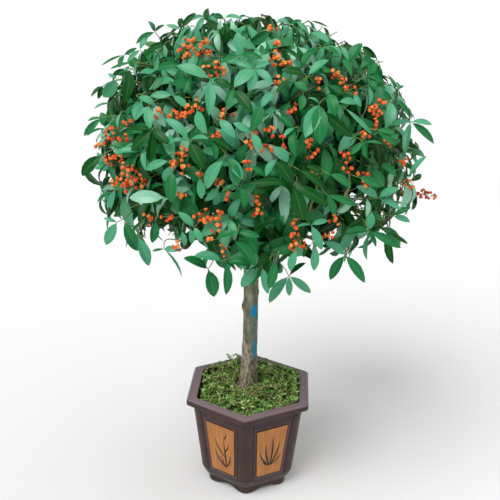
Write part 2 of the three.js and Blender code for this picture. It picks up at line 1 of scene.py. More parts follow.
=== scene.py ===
# A potted orange sweet osmanthus in bloom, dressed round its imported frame. Metres, +Z up, -Y the front.
import math
import bpy
import numpy as np
from mathutils import Matrix, Vector


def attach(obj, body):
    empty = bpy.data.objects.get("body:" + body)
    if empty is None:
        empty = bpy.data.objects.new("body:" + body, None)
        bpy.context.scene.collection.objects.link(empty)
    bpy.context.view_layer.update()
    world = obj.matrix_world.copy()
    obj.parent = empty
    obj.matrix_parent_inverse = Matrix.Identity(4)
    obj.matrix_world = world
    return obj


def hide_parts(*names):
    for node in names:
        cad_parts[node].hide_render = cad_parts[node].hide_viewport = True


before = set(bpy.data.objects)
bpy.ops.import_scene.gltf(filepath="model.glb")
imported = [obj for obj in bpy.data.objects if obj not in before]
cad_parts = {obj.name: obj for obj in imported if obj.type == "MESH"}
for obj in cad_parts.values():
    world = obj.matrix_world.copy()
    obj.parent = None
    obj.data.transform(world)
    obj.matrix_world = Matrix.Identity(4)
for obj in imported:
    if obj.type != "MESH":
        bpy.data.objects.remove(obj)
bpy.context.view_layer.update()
print("frame loaded:", len(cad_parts), "nodes")

upWay = np.array([0.0, 0.0, 1.0])
fullTurn = 2 * math.pi
goldenAngle = math.pi * (3 - math.sqrt(5))
sideTurns = -math.pi / 2 + (np.arange(6) + 0.5) * math.pi / 3  # which way each side of the pot faces


# Helpers. Places and ways have x, y and z in the last axis.
def norm(v):
    return np.linalg.norm(v, axis=-1, keepdims=True)


def unit(v):
    return v / np.maximum(norm(v), 1e-12)


def square(v, way):  # the part of v square to the way, as a unit
    return unit(v - (v * way).sum(-1, keepdims=True) * way)


def turned(angle):
    return np.stack([np.cos(angle), np.sin(angle)], -1)


def spoke(angle, side, other):
    return np.cos(angle)[..., None] * side + np.sin(angle)[..., None] * other


def ease(low, high, x):  # 0 below low, 1 above high, smooth between
    t = np.clip((x - low) / (high - low), 0, 1)
    return t * t * (3 - 2 * t)


def mix(a, b, share):
    return a + (b - a) * share


def picked(table, rows):
    return {name: values[rows] for name, values in table.items()}


def stacked(*tables):
    return {name: np.concatenate([table[name] for table in tables]) for name in tables[0]}


def display(red, green, blue):  # a display colour of 0 to 255 as linear light
    c = np.array([red, green, blue]) / 255
    return tuple(float(v) for v in np.where(c <= 0.04045, c / 12.92, ((c + 0.055) / 1.055) ** 2.4)) + (1.0,)


# The camera, solved from the rim's corners: metres, radians, and the focal length and frame in pixels
view = {
    "away": 2.1303, "height": 1.5232, "pitch": 0.3488025, "yaw": -0.0022734, "roll": -0.0163501,
    "potTurn": math.radians(3.063), "focal": 783.19, "frame": 500,
}


def cameraPose():  # its place, and its right, up and backward ways as columns
    pitch, roll, potTurn = view["pitch"], view["roll"], view["potTurn"]
    turn = potTurn - view["yaw"]
    right = np.array([math.cos(turn), math.sin(turn), 0])
    ahead = np.array([-math.sin(turn), math.cos(turn), 0])
    forward = ahead * math.cos(pitch) - upWay * math.sin(pitch)
    up = ahead * math.sin(pitch) + upWay * math.cos(pitch)
    x = math.cos(roll) * right - math.sin(roll) * up
    y = math.sin(roll) * right + math.cos(roll) * up
    place = np.array([math.sin(potTurn), -math.cos(potTurn), 0]) * view["away"] + upWay * view["height"]
    return place, np.stack([x, y, -forward], -1)


eye, eyeAxes = cameraPose()


# Smooth noise near -1 to 1: the mean of sine waves in random directions, all near one wavelength.
def ripple(points, wavelength, seed, waves=16):
    dice = np.random.default_rng(seed)
    ways = unit(dice.normal(size=(waves, 3))) * (fullTurn / wavelength) * dice.uniform(0.6, 1.6, (waves, 1))
    phases = dice.uniform(0, fullTurn, waves)
    return np.sin(points @ ways.T + phases).sum(-1) / math.sqrt(waves)


# Quads between the rings of a closed stack, facing out where columns run to the left and rows run up.
def gridQuads(rows, columns):
    r = np.arange(rows - 1)[:, None] * columns
    c = np.arange(columns)[None, :]
    after = (c + 1) % columns
    return np.stack([r + c, r + after, r + columns + after, r + columns + c], -1).reshape(-1, 4)


def fan(ring, middle, outward):  # triangles from a ring of vertices to one middle vertex
    after = np.roll(ring, -1)
    pair = (ring, after) if outward else (after, ring)
    return np.stack([*pair, np.full(len(ring), middle)], -1)


def repeated(faces, vertices, copies):  # the same faces for copies of a shape with this many vertices
    return (faces[None] + np.arange(copies)[:, None, None] * vertices).reshape(-1, faces.shape[1])


# Faces of stacks of rings, each closed by fans to the two vertices that follow its rings.
def stackFaces(rows, columns, copies=1):
    ring, middle = np.arange(columns), rows * columns
    ends = np.concatenate([fan(ring, middle, False), fan(ring + middle - columns, middle + 1, True)])
    return [repeated(faces, middle + 2, copies) for faces in (gridQuads(rows, columns), ends)]


# A piece on the one body that stands for these CAD nodes. faces is a list of quad and triangle arrays,
# and lookOf has a material number for each face in the same order.
def newPiece(name, slot, nodes, points, faces, looks, lookOf=None, marks=None, flat=False):
    mesh = bpy.data.meshes.new(name)
    points = np.asarray(points, np.float32).reshape(-1, 3)
    corners = np.concatenate([f.ravel() for f in faces]).astype(np.int32)
    sides = np.concatenate([np.full(len(f), f.shape[1]) for f in faces])
    mesh.vertices.add(len(points))
    mesh.vertices.foreach_set("co", points.ravel())
    mesh.loops.add(len(corners))
    mesh.loops.foreach_set("vertex_index", corners)
    mesh.polygons.add(len(sides))
    mesh.polygons.foreach_set("loop_start", (np.cumsum(sides) - sides).astype(np.int32))
    for look in looks:
        mesh.materials.append(look)
    if lookOf is not None:
        mesh.polygons.foreach_set("material_index", lookOf.astype(np.int32))
    mesh.polygons.foreach_set("use_smooth", np.full(len(sides), not flat))
    for mark, values in (marks or {}).items():
        attribute = mesh.attributes.new(mark, "FLOAT", "POINT")
        attribute.data.foreach_set("value", values.astype(np.float32))
    mesh.update(calc_edges=True)
    piece = bpy.data.objects.new(name, mesh)
    bpy.context.scene.collection.objects.link(piece)
    if slot:
        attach(piece, "root")
    if nodes:
        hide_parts(*nodes)
    return piece


# Round tubes along paths of (tubes, steps, 3). A vertex is the path's point plus the radius times cosine
# of the turn along one side way and sine along the other, both square to the path.
def newTubes(name, slot, nodes, paths, radii, sides, look, relief=None):
    count, steps = paths.shape[:2]
    ways = unit(np.gradient(paths, axis=1))
    chord = unit(paths[:, -1] - paths[:, 0])
    helper = np.where(np.abs(chord[:, 2:3]) > 0.8, [[1.0, 0.0, 0.0]], [[0.0, 0.0, 1.0]])[:, None]
    first = square(helper, ways)
    second = np.cross(ways, first)
    spokes = spoke(np.arange(sides) * fullTurn / sides, first[:, :, None], second[:, :, None])
    reach = (radii * np.ones((count, steps)))[:, :, None, None] * np.ones((1, 1, sides, 1))
    if relief is not None:
        reach = reach * (1 + relief(paths[:, :, None] + spokes * reach)[..., None])
    rings = (paths[:, :, None] + spokes * reach).reshape(count, -1, 3)
    points = np.concatenate([rings, paths[:, :1], paths[:, -1:]], 1)
    newPiece(name, slot, nodes, points, stackFaces(steps, sides, count), [look])


def bezier(a, b, c, d, steps):  # cubic curves by four handles each, as (curves, steps, 3)
    t = np.linspace(0, 1, steps)[None, :, None]
    a, b, c, d = (p[:, None] for p in (a, b, c, d))
    return a * (1 - t) ** 3 + 3 * b * t * (1 - t) ** 2 + 3 * c * t * t * (1 - t) + d * t**3


# Curves that leave the root along start and meet the tip along ending.
def grownCurve(root, start, ending, tip, share, steps):
    stretch = share * norm(tip - root)
    return bezier(root, root + start * stretch, tip - ending * stretch, tip, steps)


# Materials


def join(value, socket):
    if isinstance(value, bpy.types.NodeSocket):
        socket.id_data.links.new(value, socket)
    else:
        socket.default_value = value


def node(tree, kind, output=0, settings=None, **inputs):  # inputs by their name, or as i and their number
    made = tree.nodes.new("ShaderNode" + kind)
    for name, value in (settings or {}).items():
        setattr(made, name, value)
    for name, value in inputs.items():
        join(value, made.inputs[int(name[1:]) if name[1:].isdigit() else name])
    return made.outputs[output]


def noise(place, scale, detail=4.0, roughness=0.55):
    return node(place.id_data, "TexNoise", Vector=place, Scale=scale, Detail=detail, Roughness=roughness)


def ramp(source, *stops):  # colours by share
    made = node(source.id_data, "ValToRGB", i0=source)
    elements = made.node.color_ramp.elements
    while len(elements) < len(stops):
        elements.new(0.5)
    for element, (place, colour) in zip(elements, stops):
        element.position = place
        element.color = colour
    return made


def blended(share, a, b):
    return node(share.id_data, "Mix", 2, {"data_type": "RGBA"}, i0=share, i6=a, i7=b)


def mapped(value, low, high, toLow=0.0, toHigh=1.0):
    return node(value.id_data, "MapRange", i0=value, i1=low, i2=high, i3=toLow, i4=toHigh)


def over(colour, value, low, high, most, tint):  # the tint comes over the colour as the value rises
    return blended(mapped(value, low, high, 0.0, most), colour, tint)


def newLook(name):  # a material, and the object coordinates for what varies from place to place
    look = bpy.data.materials.new(name)
    look.use_nodes = True
    return look, node(look.node_tree, "TexCoord", "Object")


def markOf(place, name):
    return node(place.id_data, "Attribute", "Fac", {"attribute_name": name})


def shaded(look, colour, roughness, specular=0.5, height=None, strength=0.0, distance=0.0):
    inputs = look.node_tree.nodes["Principled BSDF"].inputs
    join(colour, inputs["Base Color"])
    join(roughness, inputs["Roughness"])
    join(specular, inputs["Specular IOR Level"])
    if height is not None:
        bump = node(look.node_tree, "Bump", Strength=strength, Distance=distance, Height=height)
        join(bump, inputs["Normal"])
    return look


def plainLook(name, colour, roughness, specular=0.5):  # one even colour
    look = bpy.data.materials.new(name)
    look.use_nodes = True
    return shaded(look, colour, roughness, specular)


def softLook(name, colour, roughness, scale=60.0, spread=0.25):  # one colour that changes softly
    look, place = newLook(name)
    dark, light = (tuple(min(1.0, v * k) for v in colour[:3]) + (1.0,) for k in (1 - spread, 1 + spread))
    return shaded(look, ramp(noise(place, scale, 3.0), (0.3, dark), (0.7, light)), roughness, 0.4)


# Pot

# The rim, shoulder, waist and foot have a corner radius and a level. Column, groove and frameEdge are
# lengths along a side from its corner.
potShape = {
    "rim": (0.210, 0.305), "shoulder": (0.187, 0.276), "waist": (0.159, 0.058), "foot": (0.137, 0.022),
    "floorUnder": 0.018, "floorTop": 0.034, "mouth": 0.178, "column": (0.0235, 0.0257), "columnRise": 0.0016,
    "groove": 0.0275, "grooveWide": 0.0013, "grooveDepth": 0.0020, "bodyFrom": (0.050, 0.060),
    "bodyTo": (0.266, 0.276), "frameEdge": 0.0315, "frameDepth": 0.003, "frameBevel": 0.005,
    "frameLow": 0.0605, "frameHigh": 0.2495, "highlightWide": 0.0022, "archHalf": 0.046, "archHeight": 0.016,
    "archTop": 0.027, "footInner": 0.1165,
}
potColours = {
    "dark": display(38, 21, 18), "light": display(62, 38, 34), "rim": display(126, 108, 112),
    "bevelHighlight": display(92, 80, 84),
}
# Columns of vertices: millimetres from the nearest corner, then shares of the middle stretch
potNear = np.array([0, 3, 6, 9, 12, 15, 18, 20.5, 22.5, 24, 25, 26, 26.8, 27.5, 28.2, 29, 30, 31, 32, 33, 34,
                    35, 36, 37, 40, 44]) / 1000
potMiddle = np.linspace(-1, 1, 9)[1:-1]


def clayLook():
    look, place = newLook("potClay")
    c = potColours
    colour = ramp(noise(place, 14.0, 5.0, 0.6), (0.3, c["dark"]), (0.72, c["light"]))
    level = node(look.node_tree, "SeparateXYZ", 2, i0=place)
    colour = over(colour, level, 0.3015, 0.3045, 1.0, c["rim"])
    # painted highlight: a paler band along the middle of the sunk frame's bevel, where it would catch the
    # light
    colour = over(colour, markOf(place, "edge"), 0.2, 1.0, 0.75, c["bevelHighlight"])
    colour = over(colour, noise(place, 420.0, 2.0, 0.5), 0.62, 0.75, 0.35, c["light"])
    rough = mapped(noise(place, 30.0), 0.3, 0.7, 0.32, 0.50)
    return shaded(look, colour, rough, 0.38, noise(place, 260.0, 6.0, 0.6), 0.22, 0.0006)


# A hexagon's edge at many levels at once, by corner radius. Within `rounds` of a corner the edge is an
# arc of radius rounds times the root of 3. inset moves a point along the edge's own outward way.
def hexRows(radii, rounds, near, middle, inset=None):
    radii, rounds = radii[:, None], rounds[:, None]
    half = radii / 2
    scale = np.minimum(1, half / (near[-1] * 1.2))
    left = near * scale - half
    across = np.concatenate([left, (half - near[-1] * scale) * middle, -left[:, :0:-1]], 1)
    toCorner, hand = half - np.abs(across), np.sign(across)
    rounds = rounds * scale
    lean = np.clip(1 - toCorner / rounds, 0, 1) * math.pi / 6 * hand
    arc, cornerOut = rounds * math.sqrt(3), radii * math.cos(math.pi / 6)
    out = np.where(toCorner < rounds, cornerOut - arc + arc * np.cos(lean), cornerOut)
    aside = np.where(toCorner < rounds, hand * (half - rounds) + arc * np.sin(lean), across)
    if inset is not None:
        step = inset(toCorner)
        out, aside = out + step * np.cos(lean), aside + step * np.sin(lean)
    cosine, sine = turned(sideTurns).T[..., None]
    out, aside = out[:, None], aside[:, None]
    xy = np.stack([out * cosine - aside * sine, out * sine + aside * cosine], -1)
    return xy.reshape(len(radii), -1, 2), np.tile(across, (1, 6))


def softened(points, times=2):  # corners cut: each stretch is kept from a quarter to three quarters
    points = np.array(points)
    for _ in range(times):
        cut = np.stack([mix(points[:-1], points[1:], share) for share in (0.25, 0.75)], 1).reshape(-1, 3)
        points = np.concatenate([points[:1], cut, points[-1:]])
    return points


def closedHex(xy, levels):  # rows of hexagon edge as one closed surface with a pole at each end
    poles = [[0, 0, levels[0, 0]], [0, 0, levels[-1, 0]]]
    return np.concatenate([np.dstack([xy, levels]).reshape(-1, 3), poles]), stackFaces(*levels.shape)


# Rows of corner radius, level and corner round, from under the floor over the rim to the inside. Then
# which rows are the outer wall and which the foot.
def potProfile():
    s = potShape
    rimR, rimZ = s["rim"]
    (shoulderR, shoulderZ), (waistR, waistZ), (footR, footZ) = s["shoulder"], s["waist"], s["foot"]
    under = [(0.030, s["floorUnder"], 0.006), (0.070, s["floorUnder"], 0.01), (0.108, s["floorUnder"], 0.01)]
    foot = softened([
        (0.112, s["floorUnder"], 0.01), (0.1145, 0.006, 0.01), (0.116, 0, 0.01), (0.1235, 0, 0.012),
        (0.131, 0, 0.014), (0.1355, 0.003, 0.0145), (footR, 0.009, 0.015), (footR, 0.016, 0.015),
        (footR, footZ, 0.015), (0.1385, 0.0245, 0.0155), (0.143, 0.0285, 0.016), (0.150, 0.038, 0.017),
        (0.1555, 0.048, 0.018), (waistR, waistZ, 0.018)])
    levels = np.concatenate([np.linspace(*run) for run in (
        (0.0595, 0.0665, 8), (0.0700, 0.2400, 26), (0.2435, 0.2505, 8), (0.254, 0.272, 5))])
    radii = waistR + (shoulderR - waistR) * (levels - waistZ) / (shoulderZ - waistZ)
    wall = np.stack([radii, levels, np.full(len(levels), 0.018)], -1)
    lip = softened([
        (shoulderR, shoulderZ, 0.018), (0.188, 0.279, 0.016), (0.191, 0.2815, 0.014), (0.199, 0.2835, 0.01),
        (0.2065, 0.286, 0.008), (0.2095, 0.2885, 0.007), (rimR, 0.2905, 0.007), (rimR, 0.296, 0.007),
        (rimR, 0.3005, 0.007), (0.2092, 0.3022, 0.007), (0.2055, 0.3042, 0.007), (0.2035, rimZ, 0.007),
        (0.2005, rimZ, 0.007), (0.1992, rimZ - 0.0002, 0.007), (0.1984, rimZ - 0.0012, 0.007),
        (0.1976, rimZ - 0.0012, 0.007), (0.1968, rimZ - 0.0002, 0.007), (0.195, rimZ, 0.007),
        (0.188, rimZ, 0.008), (0.181, rimZ, 0.0085), (s["mouth"], rimZ - 0.0003, 0.009),
        (0.1768, rimZ - 0.0012, 0.009), (0.176, 0.300, 0.009), (0.1735, 0.285, 0.009),
        (0.170, 0.262, 0.009)], 1)
    inner = [(0.158, 0.164, 0.009), (0.146, 0.066, 0.009), (0.134, 0.038, 0.009),
             (0.128, s["floorTop"], 0.009), (0.080, s["floorTop"], 0.009), (0.030, s["floorTop"], 0.006)]
    row = np.arange(len(under) + len(foot) + len(wall) + len(lip) + len(inner))[:, None]
    outer = (row >= len(under) + 20) & (row < len(under) + len(foot) + len(wall) + 8)
    return np.concatenate([under, foot, wall, lip, inner]), outer, row < len(under) + 40


def makePot():
    s = potShape
    profile, outer, low = potProfile()
    radii, level = profile[:, 0:1], profile[:, 1:2]

    def framed(toCorner):  # how far inside the sunk field's edge
        upright = np.minimum(level - s["frameLow"], s["frameHigh"] - level)
        return np.minimum(toCorner - s["frameEdge"], upright)

    def relief(toCorner):
        body = ease(*s["bodyFrom"], level) * (1 - ease(*s["bodyTo"], level)) * outer
        column = s["columnRise"] * (1 - ease(*s["column"], toCorner))
        groove = -s["grooveDepth"] * np.exp(-(((toCorner - s["groove"]) / s["grooveWide"]) ** 2))
        inFrame = np.clip(framed(toCorner) / s["frameBevel"], 0, 1) * outer
        return body * (column + groove) - s["frameDepth"] * inFrame

    xy, across = hexRows(profile[:, 0], profile[:, 2], potNear, potMiddle, relief)
    # the arch between two feet lifts the lowest rows, less and less up to the foot's top
    arch = s["archHeight"] * np.cos(math.pi / 2 * np.clip(across / s["archHalf"], -1, 1)) ** 1.4
    top = np.where(radii < s["footInner"], s["floorUnder"], s["archTop"])
    levels = np.where((level < top) & low, arch + level * (1 - arch / top), level * np.ones_like(across))
    # The edge mark is a painted highlight, a band along the middle of the sunk frame's bevel.
    inward = framed(radii / 2 - np.abs(across))
    edge = np.exp(-(((inward - s["frameBevel"] * 0.5) / s["highlightWide"]) ** 2)) * outer
    marks = {"edge": np.concatenate([edge.ravel(), [0, 0]])}
    newPiece("glazedPot", "pot_clay", ["pot"], *closedHex(xy, levels), [clayLook()], marks=marks)


# Panels

panelShape = {
    "low": 0.070, "high": 0.240, "halfLow": 0.040, "halfHigh": 0.051, "back": -0.0027, "front": -0.0005,
    "bevel": 0.0007, "film": (-0.0007, -0.00028), "strokeWander": 0.0022,
}
panelColours = {
    "ochre": display(170, 110, 52), "pale": display(184, 128, 67), "streak": display(150, 93, 42),
    "stain": display(142, 94, 54), "ink": display(30, 20, 18),
}
# Brush strokes: root x and y, tip x and y, bend and width, in millimetres on the plate
tuftStrokes = [
    (-3, 36, -34, 92, 10, 4.0), (-1, 35, -20, 124, 9, 4.6), (1, 35, 6, 138, -8, 4.4),
    (2, 35, 27, 116, -10, 4.2), (3, 36, 37, 70, -12, 3.6), (-2, 36, -26, 56, 8, 3.2),
    (0, 35, 16, 60, -3, 3.4),
]
reedStrokes = [
    (13, 18, 11, 128, -5, 4.6), (12, 22, -26, 84, 14, 4.6), (13, 24, 32, 76, -12, 4.2),
    (11, 60, -22, 122, 10, 4.2), (12, 80, 30, 118, -8, 3.8), (12, 22, -4, 58, 4, 3.4),
    (11, 126, 22, 148, -4, 3.2),
]


def panelLook():
    look, place = newLook("ochrePanel")
    c = panelColours
    stretched = node(look.node_tree, "Mapping", Vector=place, Scale=(90.0, 90.0, 9.0))
    streaks = noise(stretched, 1.0, 3.0, 0.5)
    colour = ramp(streaks, (0.25, c["streak"]), (0.55, c["ochre"]), (0.8, c["pale"]))
    colour = over(colour, noise(place, 16.0, 4.0, 0.6), 0.5, 0.72, 0.35, c["stain"])
    return shaded(look, colour, 0.52, 0.4, streaks, 0.15, 0.0006)


# Places across, up and out of the k-th side, from the middle of its plate's lower edge.
def onPlate(k, local):
    (shoulderR, shoulderZ), (waistR, waistZ) = potShape["shoulder"], potShape["waist"]
    apothem = math.cos(math.pi / 6)
    cosine, sine = turned(sideTurns[k])
    outward, across = np.array([cosine, sine, 0]), np.array([-sine, cosine, 0])
    lean = (shoulderR - waistR) * apothem / (shoulderZ - waistZ)
    slope = unit(outward * lean + upWay)
    start = outward * (waistR * apothem - lean * waistZ) + slope * panelShape["low"] / slope[2]
    return start + local @ np.stack([across, slope, np.cross(across, slope)])


def makePanel(k, look):  # rings of the plate's outline, from the back over the bevel to the front
    s = panelShape
    tall, bevel = s["high"] - s["low"], s["bevel"]
    corners = np.array([(-1, 0), (1, 0), (1, 1), (-1, 1), (-1, 0)], float)
    steps = np.linspace(0, 1, 9)[:-1, None]
    x, y = np.concatenate([mix(corners[j], corners[j + 1], steps) for j in range(4)]).T
    rows = [(s["back"], 0.0), (s["front"] - bevel, 0.0), (s["front"] - bevel * 0.3, bevel * 0.3),
            (s["front"], bevel), (s["front"], bevel * 3)]
    half = mix(s["halfLow"], s["halfHigh"], y)
    rings = [np.stack([x * (half - inset), y * (tall - 2 * inset) + inset, np.full(len(x), depth)], -1)
             for depth, inset in rows]
    poles = [[0, tall / 2, s["back"]], [0, tall / 2, s["front"]]]
    points = onPlate(k, np.concatenate(rings + [poles]))
    faces = stackFaces(len(rows), len(x))
    newPiece(f"ochrePlate{k + 1}", "panel_clay", [f"panel_{k + 1}"], points, faces, [look], flat=True)


# Each stroke is a thin raised film along a curve, its width rising fast and thinning to the tip.
def makeBrushwork(k, look):
    dice = np.random.default_rng(60 + k)
    strokes = np.array(reedStrokes if k % 2 else tuftStrokes) / 1000
    if k in (2, 3):  # two panels that face away have the same motif turned over
        strokes[:, [0, 2, 4]] *= -1
    strokes[:, 2:4] += dice.normal(0, panelShape["strokeWander"], (len(strokes), 2))
    t = np.linspace(0, 1, 15)[None, :, None]
    root, tip, bend, width = np.split(strokes[:, None], (2, 4, 5), -1)
    aside = unit((tip - root)[..., ::-1] * (-1, 1)) * bend * 2
    line = root * (1 - t) + tip * t + aside * t * (1 - t)
    across = unit(np.gradient(line, axis=1))[..., ::-1] * (-1, 1)
    width = width * np.clip(t, 0.03, 1) ** 0.35 * (1 - 0.96 * t**1.8) * 2.5
    low, high = panelShape["film"]
    rings = np.stack([np.dstack([line + across * width * side, np.full(line.shape[:2], depth)])
                      for side, depth in ((-0.5, low), (0.5, low), (0.38, high), (-0.38, high))], 2)
    count, steps = rings.shape[:2]
    ends = np.stack([np.arange(4), np.arange(4)[::-1] + (steps - 1) * 4])
    faces = [repeated(part, steps * 4, count) for part in (gridQuads(steps, 4)[:, ::-1], ends)]
    newPiece(f"brushwork{k + 1}", "panel_clay", [], onPlate(k, rings.reshape(-1, 3)), faces, [look])


# Soil

soilShape = {
    "wall": 0.268, "bank": (0.120, 0.280), "crown": (0.046, 0.286), "gap": 0.0007, "bottom": 0.0343,
    "lumps": (0.0022, 0.0012), "settled": 0.0015, "edge": (0, 0.003, 0.006),
}
innerWall = [(0.128, 0.034), (0.146, 0.066), (0.170, 0.262), (0.176, 0.302)]  # corner radius and level


def earthLook():
    look, place = newLook("earth")
    crumbs = noise(place, 160.0, 6.0, 0.65)
    stops = (0.3, display(28, 20, 15)), (0.6, display(66, 50, 38)), (0.85, display(112, 92, 72))
    return shaded(look, ramp(crumbs, *stops), 0.92, 0.5, crumbs, 0.9, 0.003)


def wallCorner(level):
    radii, levels = np.array(innerWall).T
    return np.interp(level, levels, radii)


def soilLevel(corner):
    s = soilShape
    radii, levels = zip(s["crown"], s["bank"], (0.1715 - s["gap"], s["wall"]))
    return np.interp(corner, radii, levels)


def makeSoil():
    s = soilShape
    side = [(wallCorner(level) - s["gap"], level) for level in (s["bottom"], 0.066, 0.2, 0.262)]
    top = wallCorner(s["wall"]) - s["gap"] - np.array(s["edge"])
    top = np.concatenate([top, np.linspace(top[-1] - 0.005, 0.036, 26)])
    profile = np.array([(0.040, s["bottom"])] + side + [(corner, soilLevel(corner)) for corner in top])
    corner = profile[:, 0]
    middle = np.linspace(-1, 1, 14)[1:-1]
    xy, _ = hexRows(corner, np.minimum(0.009, corner * 0.12), np.linspace(0, 0.040, 12), middle)
    levels = np.repeat(profile[:, 1:2], xy.shape[1], 1)
    spots = np.dstack([xy, levels])
    wide, fine = s["lumps"]
    lumps = wide * ripple(spots, 0.022, 31) + fine * ripple(spots, 0.008, 32)
    onTop = ease(5.5, 8, np.arange(len(profile))) * ease(0.036, 0.060, corner)
    levels = levels + (lumps - s["settled"]) * onTop[:, None]
    newPiece("pottingSoil", "soil", ["soil"], *closedHex(xy, levels), [earthLook()])


# Ground cover

coverShape = {
    "inner": 0.041, "outer": 0.166, "stems": 380, "runners": 44, "steps": 14, "reach": (0.06, 0.17),
    "stem": 0.0011, "leafLong": (0.0076, 0.0126), "leafWide": 0.48, "thick": 0.0003, "overRim": 0.3075,
    "tallWay": (-0.50, 0.86),  # the back left, where the shoots stand taller
    "moundWay": (0.96, 0.28),  # the right, where the mat swells to the rim
    "tints": [display(128, 176, 74), display(80, 140, 50), display(176, 208, 124), display(38, 88, 28)],
    "shares": (0.30, 0.28, 0.15, 0.27), "leafy": 0.86, "stalk": display(180, 168, 118),
    "wander": 0.16, "height": (0.006, 0.026), "tall": 0.062, "mound": 0.024, "upright": 0.45,
    "runnerRise": 0.020, "clear": 0.0012, "reachOver": 0.19, "wallGap": 0.003, "trunkGap": 0.040,
}


def cornerOf(xy):  # corner radius of the hexagon through a point
    return (xy @ turned(sideTurns).T).max(-1) / math.cos(math.pi / 6)


# Small leaves: an oval ring of eight points with its sides pulled up, and a middle point above and below.
def ovalLeaves(root, along, out, length):
    turn = np.arange(8)[:, None] * math.pi / 4
    u, v = 0.5 - 0.5 * np.cos(turn), -0.5 * np.sin(turn)
    size, across = length[:, None, None], np.cross(along, out)[:, None]
    ring = root[:, None] + size * (u * along[:, None] + v * coverShape["leafWide"] * across)
    ring = ring + size * (0.22 * np.abs(v) * out[:, None])
    middle, lift = root + length[:, None] * 0.5 * along, coverShape["thick"] * out
    return np.concatenate([ring, np.stack([middle + lift, middle - lift], 1)], 1)


# Each stem's heading wanders, and the whole stem keeps between the trunk and the pot's wall.
def creepingStems(dice):
    s = coverShape
    count, steps = s["stems"], s["steps"]
    turn = dice.uniform(0, fullTurn, count)
    start = np.sqrt(dice.uniform(s["inner"] ** 2, s["outer"] ** 2, count))[:, None] * turned(turn)
    heading = dice.uniform(0, fullTurn, (count, 1))
    heading = heading + np.cumsum(dice.normal(0, s["wander"], (count, steps)), 1)
    stride = dice.uniform(*s["reach"], (count, 1)) / steps
    xy = start[:, None] + np.cumsum(stride[..., None] * turned(heading), 1)
    xy = xy * np.minimum(1, s["outer"] / cornerOf(xy))[..., None]
    xy = xy * np.maximum(1, s["inner"] * dice.uniform(1, 1.7, (count, 1, 1)) / norm(xy))
    tall = np.clip(unit(start) @ np.array(s["tallWay"]), 0, 1)[:, None] ** 4
    mound = ease(0.5, 0.9, unit(start) @ np.array(s["moundWay"]))[:, None]
    height = dice.uniform(*s["height"], (count, 1)) + s["tall"] * tall * dice.uniform(0, 1, (count, 1)) ** 1.5
    height = height + s["mound"] * mound
    upright = dice.uniform(0, 1, (count, 1)) < s["upright"]
    runner = np.arange(count)[:, None] < s["runners"]
    height = np.where(runner, 0.6 * height + s["runnerRise"], height)
    t = np.linspace(0, 1, steps)
    lift = height * np.where(upright & ~runner, t**1.4, np.sin(math.pi * t) ** 0.8)
    return np.dstack([xy, soilLevel(cornerOf(xy)) + s["clear"] + lift])


def makeGroundCover():
    s = coverShape
    dice = np.random.default_rng(5)
    stems = creepingStems(dice)
    count, steps = stems.shape[:2]
    nodes = [f"ground_cover_{k}" for k in range(1, 7)]
    stalk = softLook("creepingStalk", s["stalk"], 0.7)
    newTubes("creepingStems", "ground_cover", nodes, stems, s["stem"], 3, stalk)
    way = unit(np.gradient(stems, axis=1))
    aside = unit(np.cross(way, upWay))[:, :, None] * [[1.0], [-1.0]]
    along = way[:, :, None] * 0.45 + aside + upWay * dice.uniform(0.1, 0.9, (count, steps, 2, 1))
    along = unit(along + dice.normal(0, 0.25, along.shape)).reshape(-1, 3)
    out = square(upWay + dice.normal(0, 0.35, along.shape), along)
    root = np.repeat(stems[:, :, None], 2, 2).reshape(-1, 3)
    length = dice.uniform(*s["leafLong"], len(root))
    ofStem = np.repeat(dice.choice(len(s["tints"]), count, p=s["shares"]), steps * 2)
    ofLeaf = dice.choice(len(s["tints"]), len(root), p=s["shares"])
    tint = np.where(dice.uniform(0, 1, len(root)) < 0.5, ofStem, ofLeaf)
    tip = root + along * length[:, None]
    level, corner = tip[:, 2], cornerOf(tip[:, :2])
    leafy = np.repeat(np.where(np.arange(count) < s["runners"], 0.4, s["leafy"]), steps * 2)
    edge = np.where(level > s["overRim"], s["reachOver"], wallCorner(level) - s["wallGap"])
    kept = (dice.uniform(0, 1, len(root)) < leafy) & (corner < edge) & (level > soilLevel(corner) - 0.002)
    kept = kept & (norm(tip[:, :2] - trunkShape["flareShift"])[:, 0] > s["trunkGap"])
    for number, colour in enumerate(s["tints"]):
        own = kept & (tint == number)
        points = ovalLeaves(root[own], along[own], out[own], length[own])
        look = softLook(f"smallLeaf{number + 1}", colour, 0.5, 90.0, 0.12)
        faces = stackFaces(1, 8, len(points))
        newPiece(f"smallLeaves{number + 1}", "ground_cover", nodes, points, faces, [look], flat=True)


# Trunk

trunkTaper = [  # level and radius
    (0.286, 0.0348), (0.300, 0.0325), (0.325, 0.0286), (0.360, 0.0255), (0.410, 0.0231), (0.480, 0.0220),
    (0.600, 0.0217), (0.720, 0.0221), (0.760, 0.0217), (0.820, 0.0180), (0.880, 0.014), (0.930, 0.011),
]
trunkShape = {
    "foot": 0.280, "top": 0.930, "ground": 0.286, "flareFade": 0.045, "flareShift": (-0.008, 0.002),
    "leanFrom": 0.650, "leanBy": 0.009, "columns": 96, "rows": 270, "cracksBelow": (0.44, 0.50),
    "shadeTurn": -0.75, "lobes": 4, "lobesTurn": 0.6, "lobesFade": 0.035, "lobesRise": 0.0026,
    "swell": 0.0008, "grain": 0.0003, "depths": (0.0016, 0.0006, 0.003, 0.0016),  # in makeTrunk's order
}
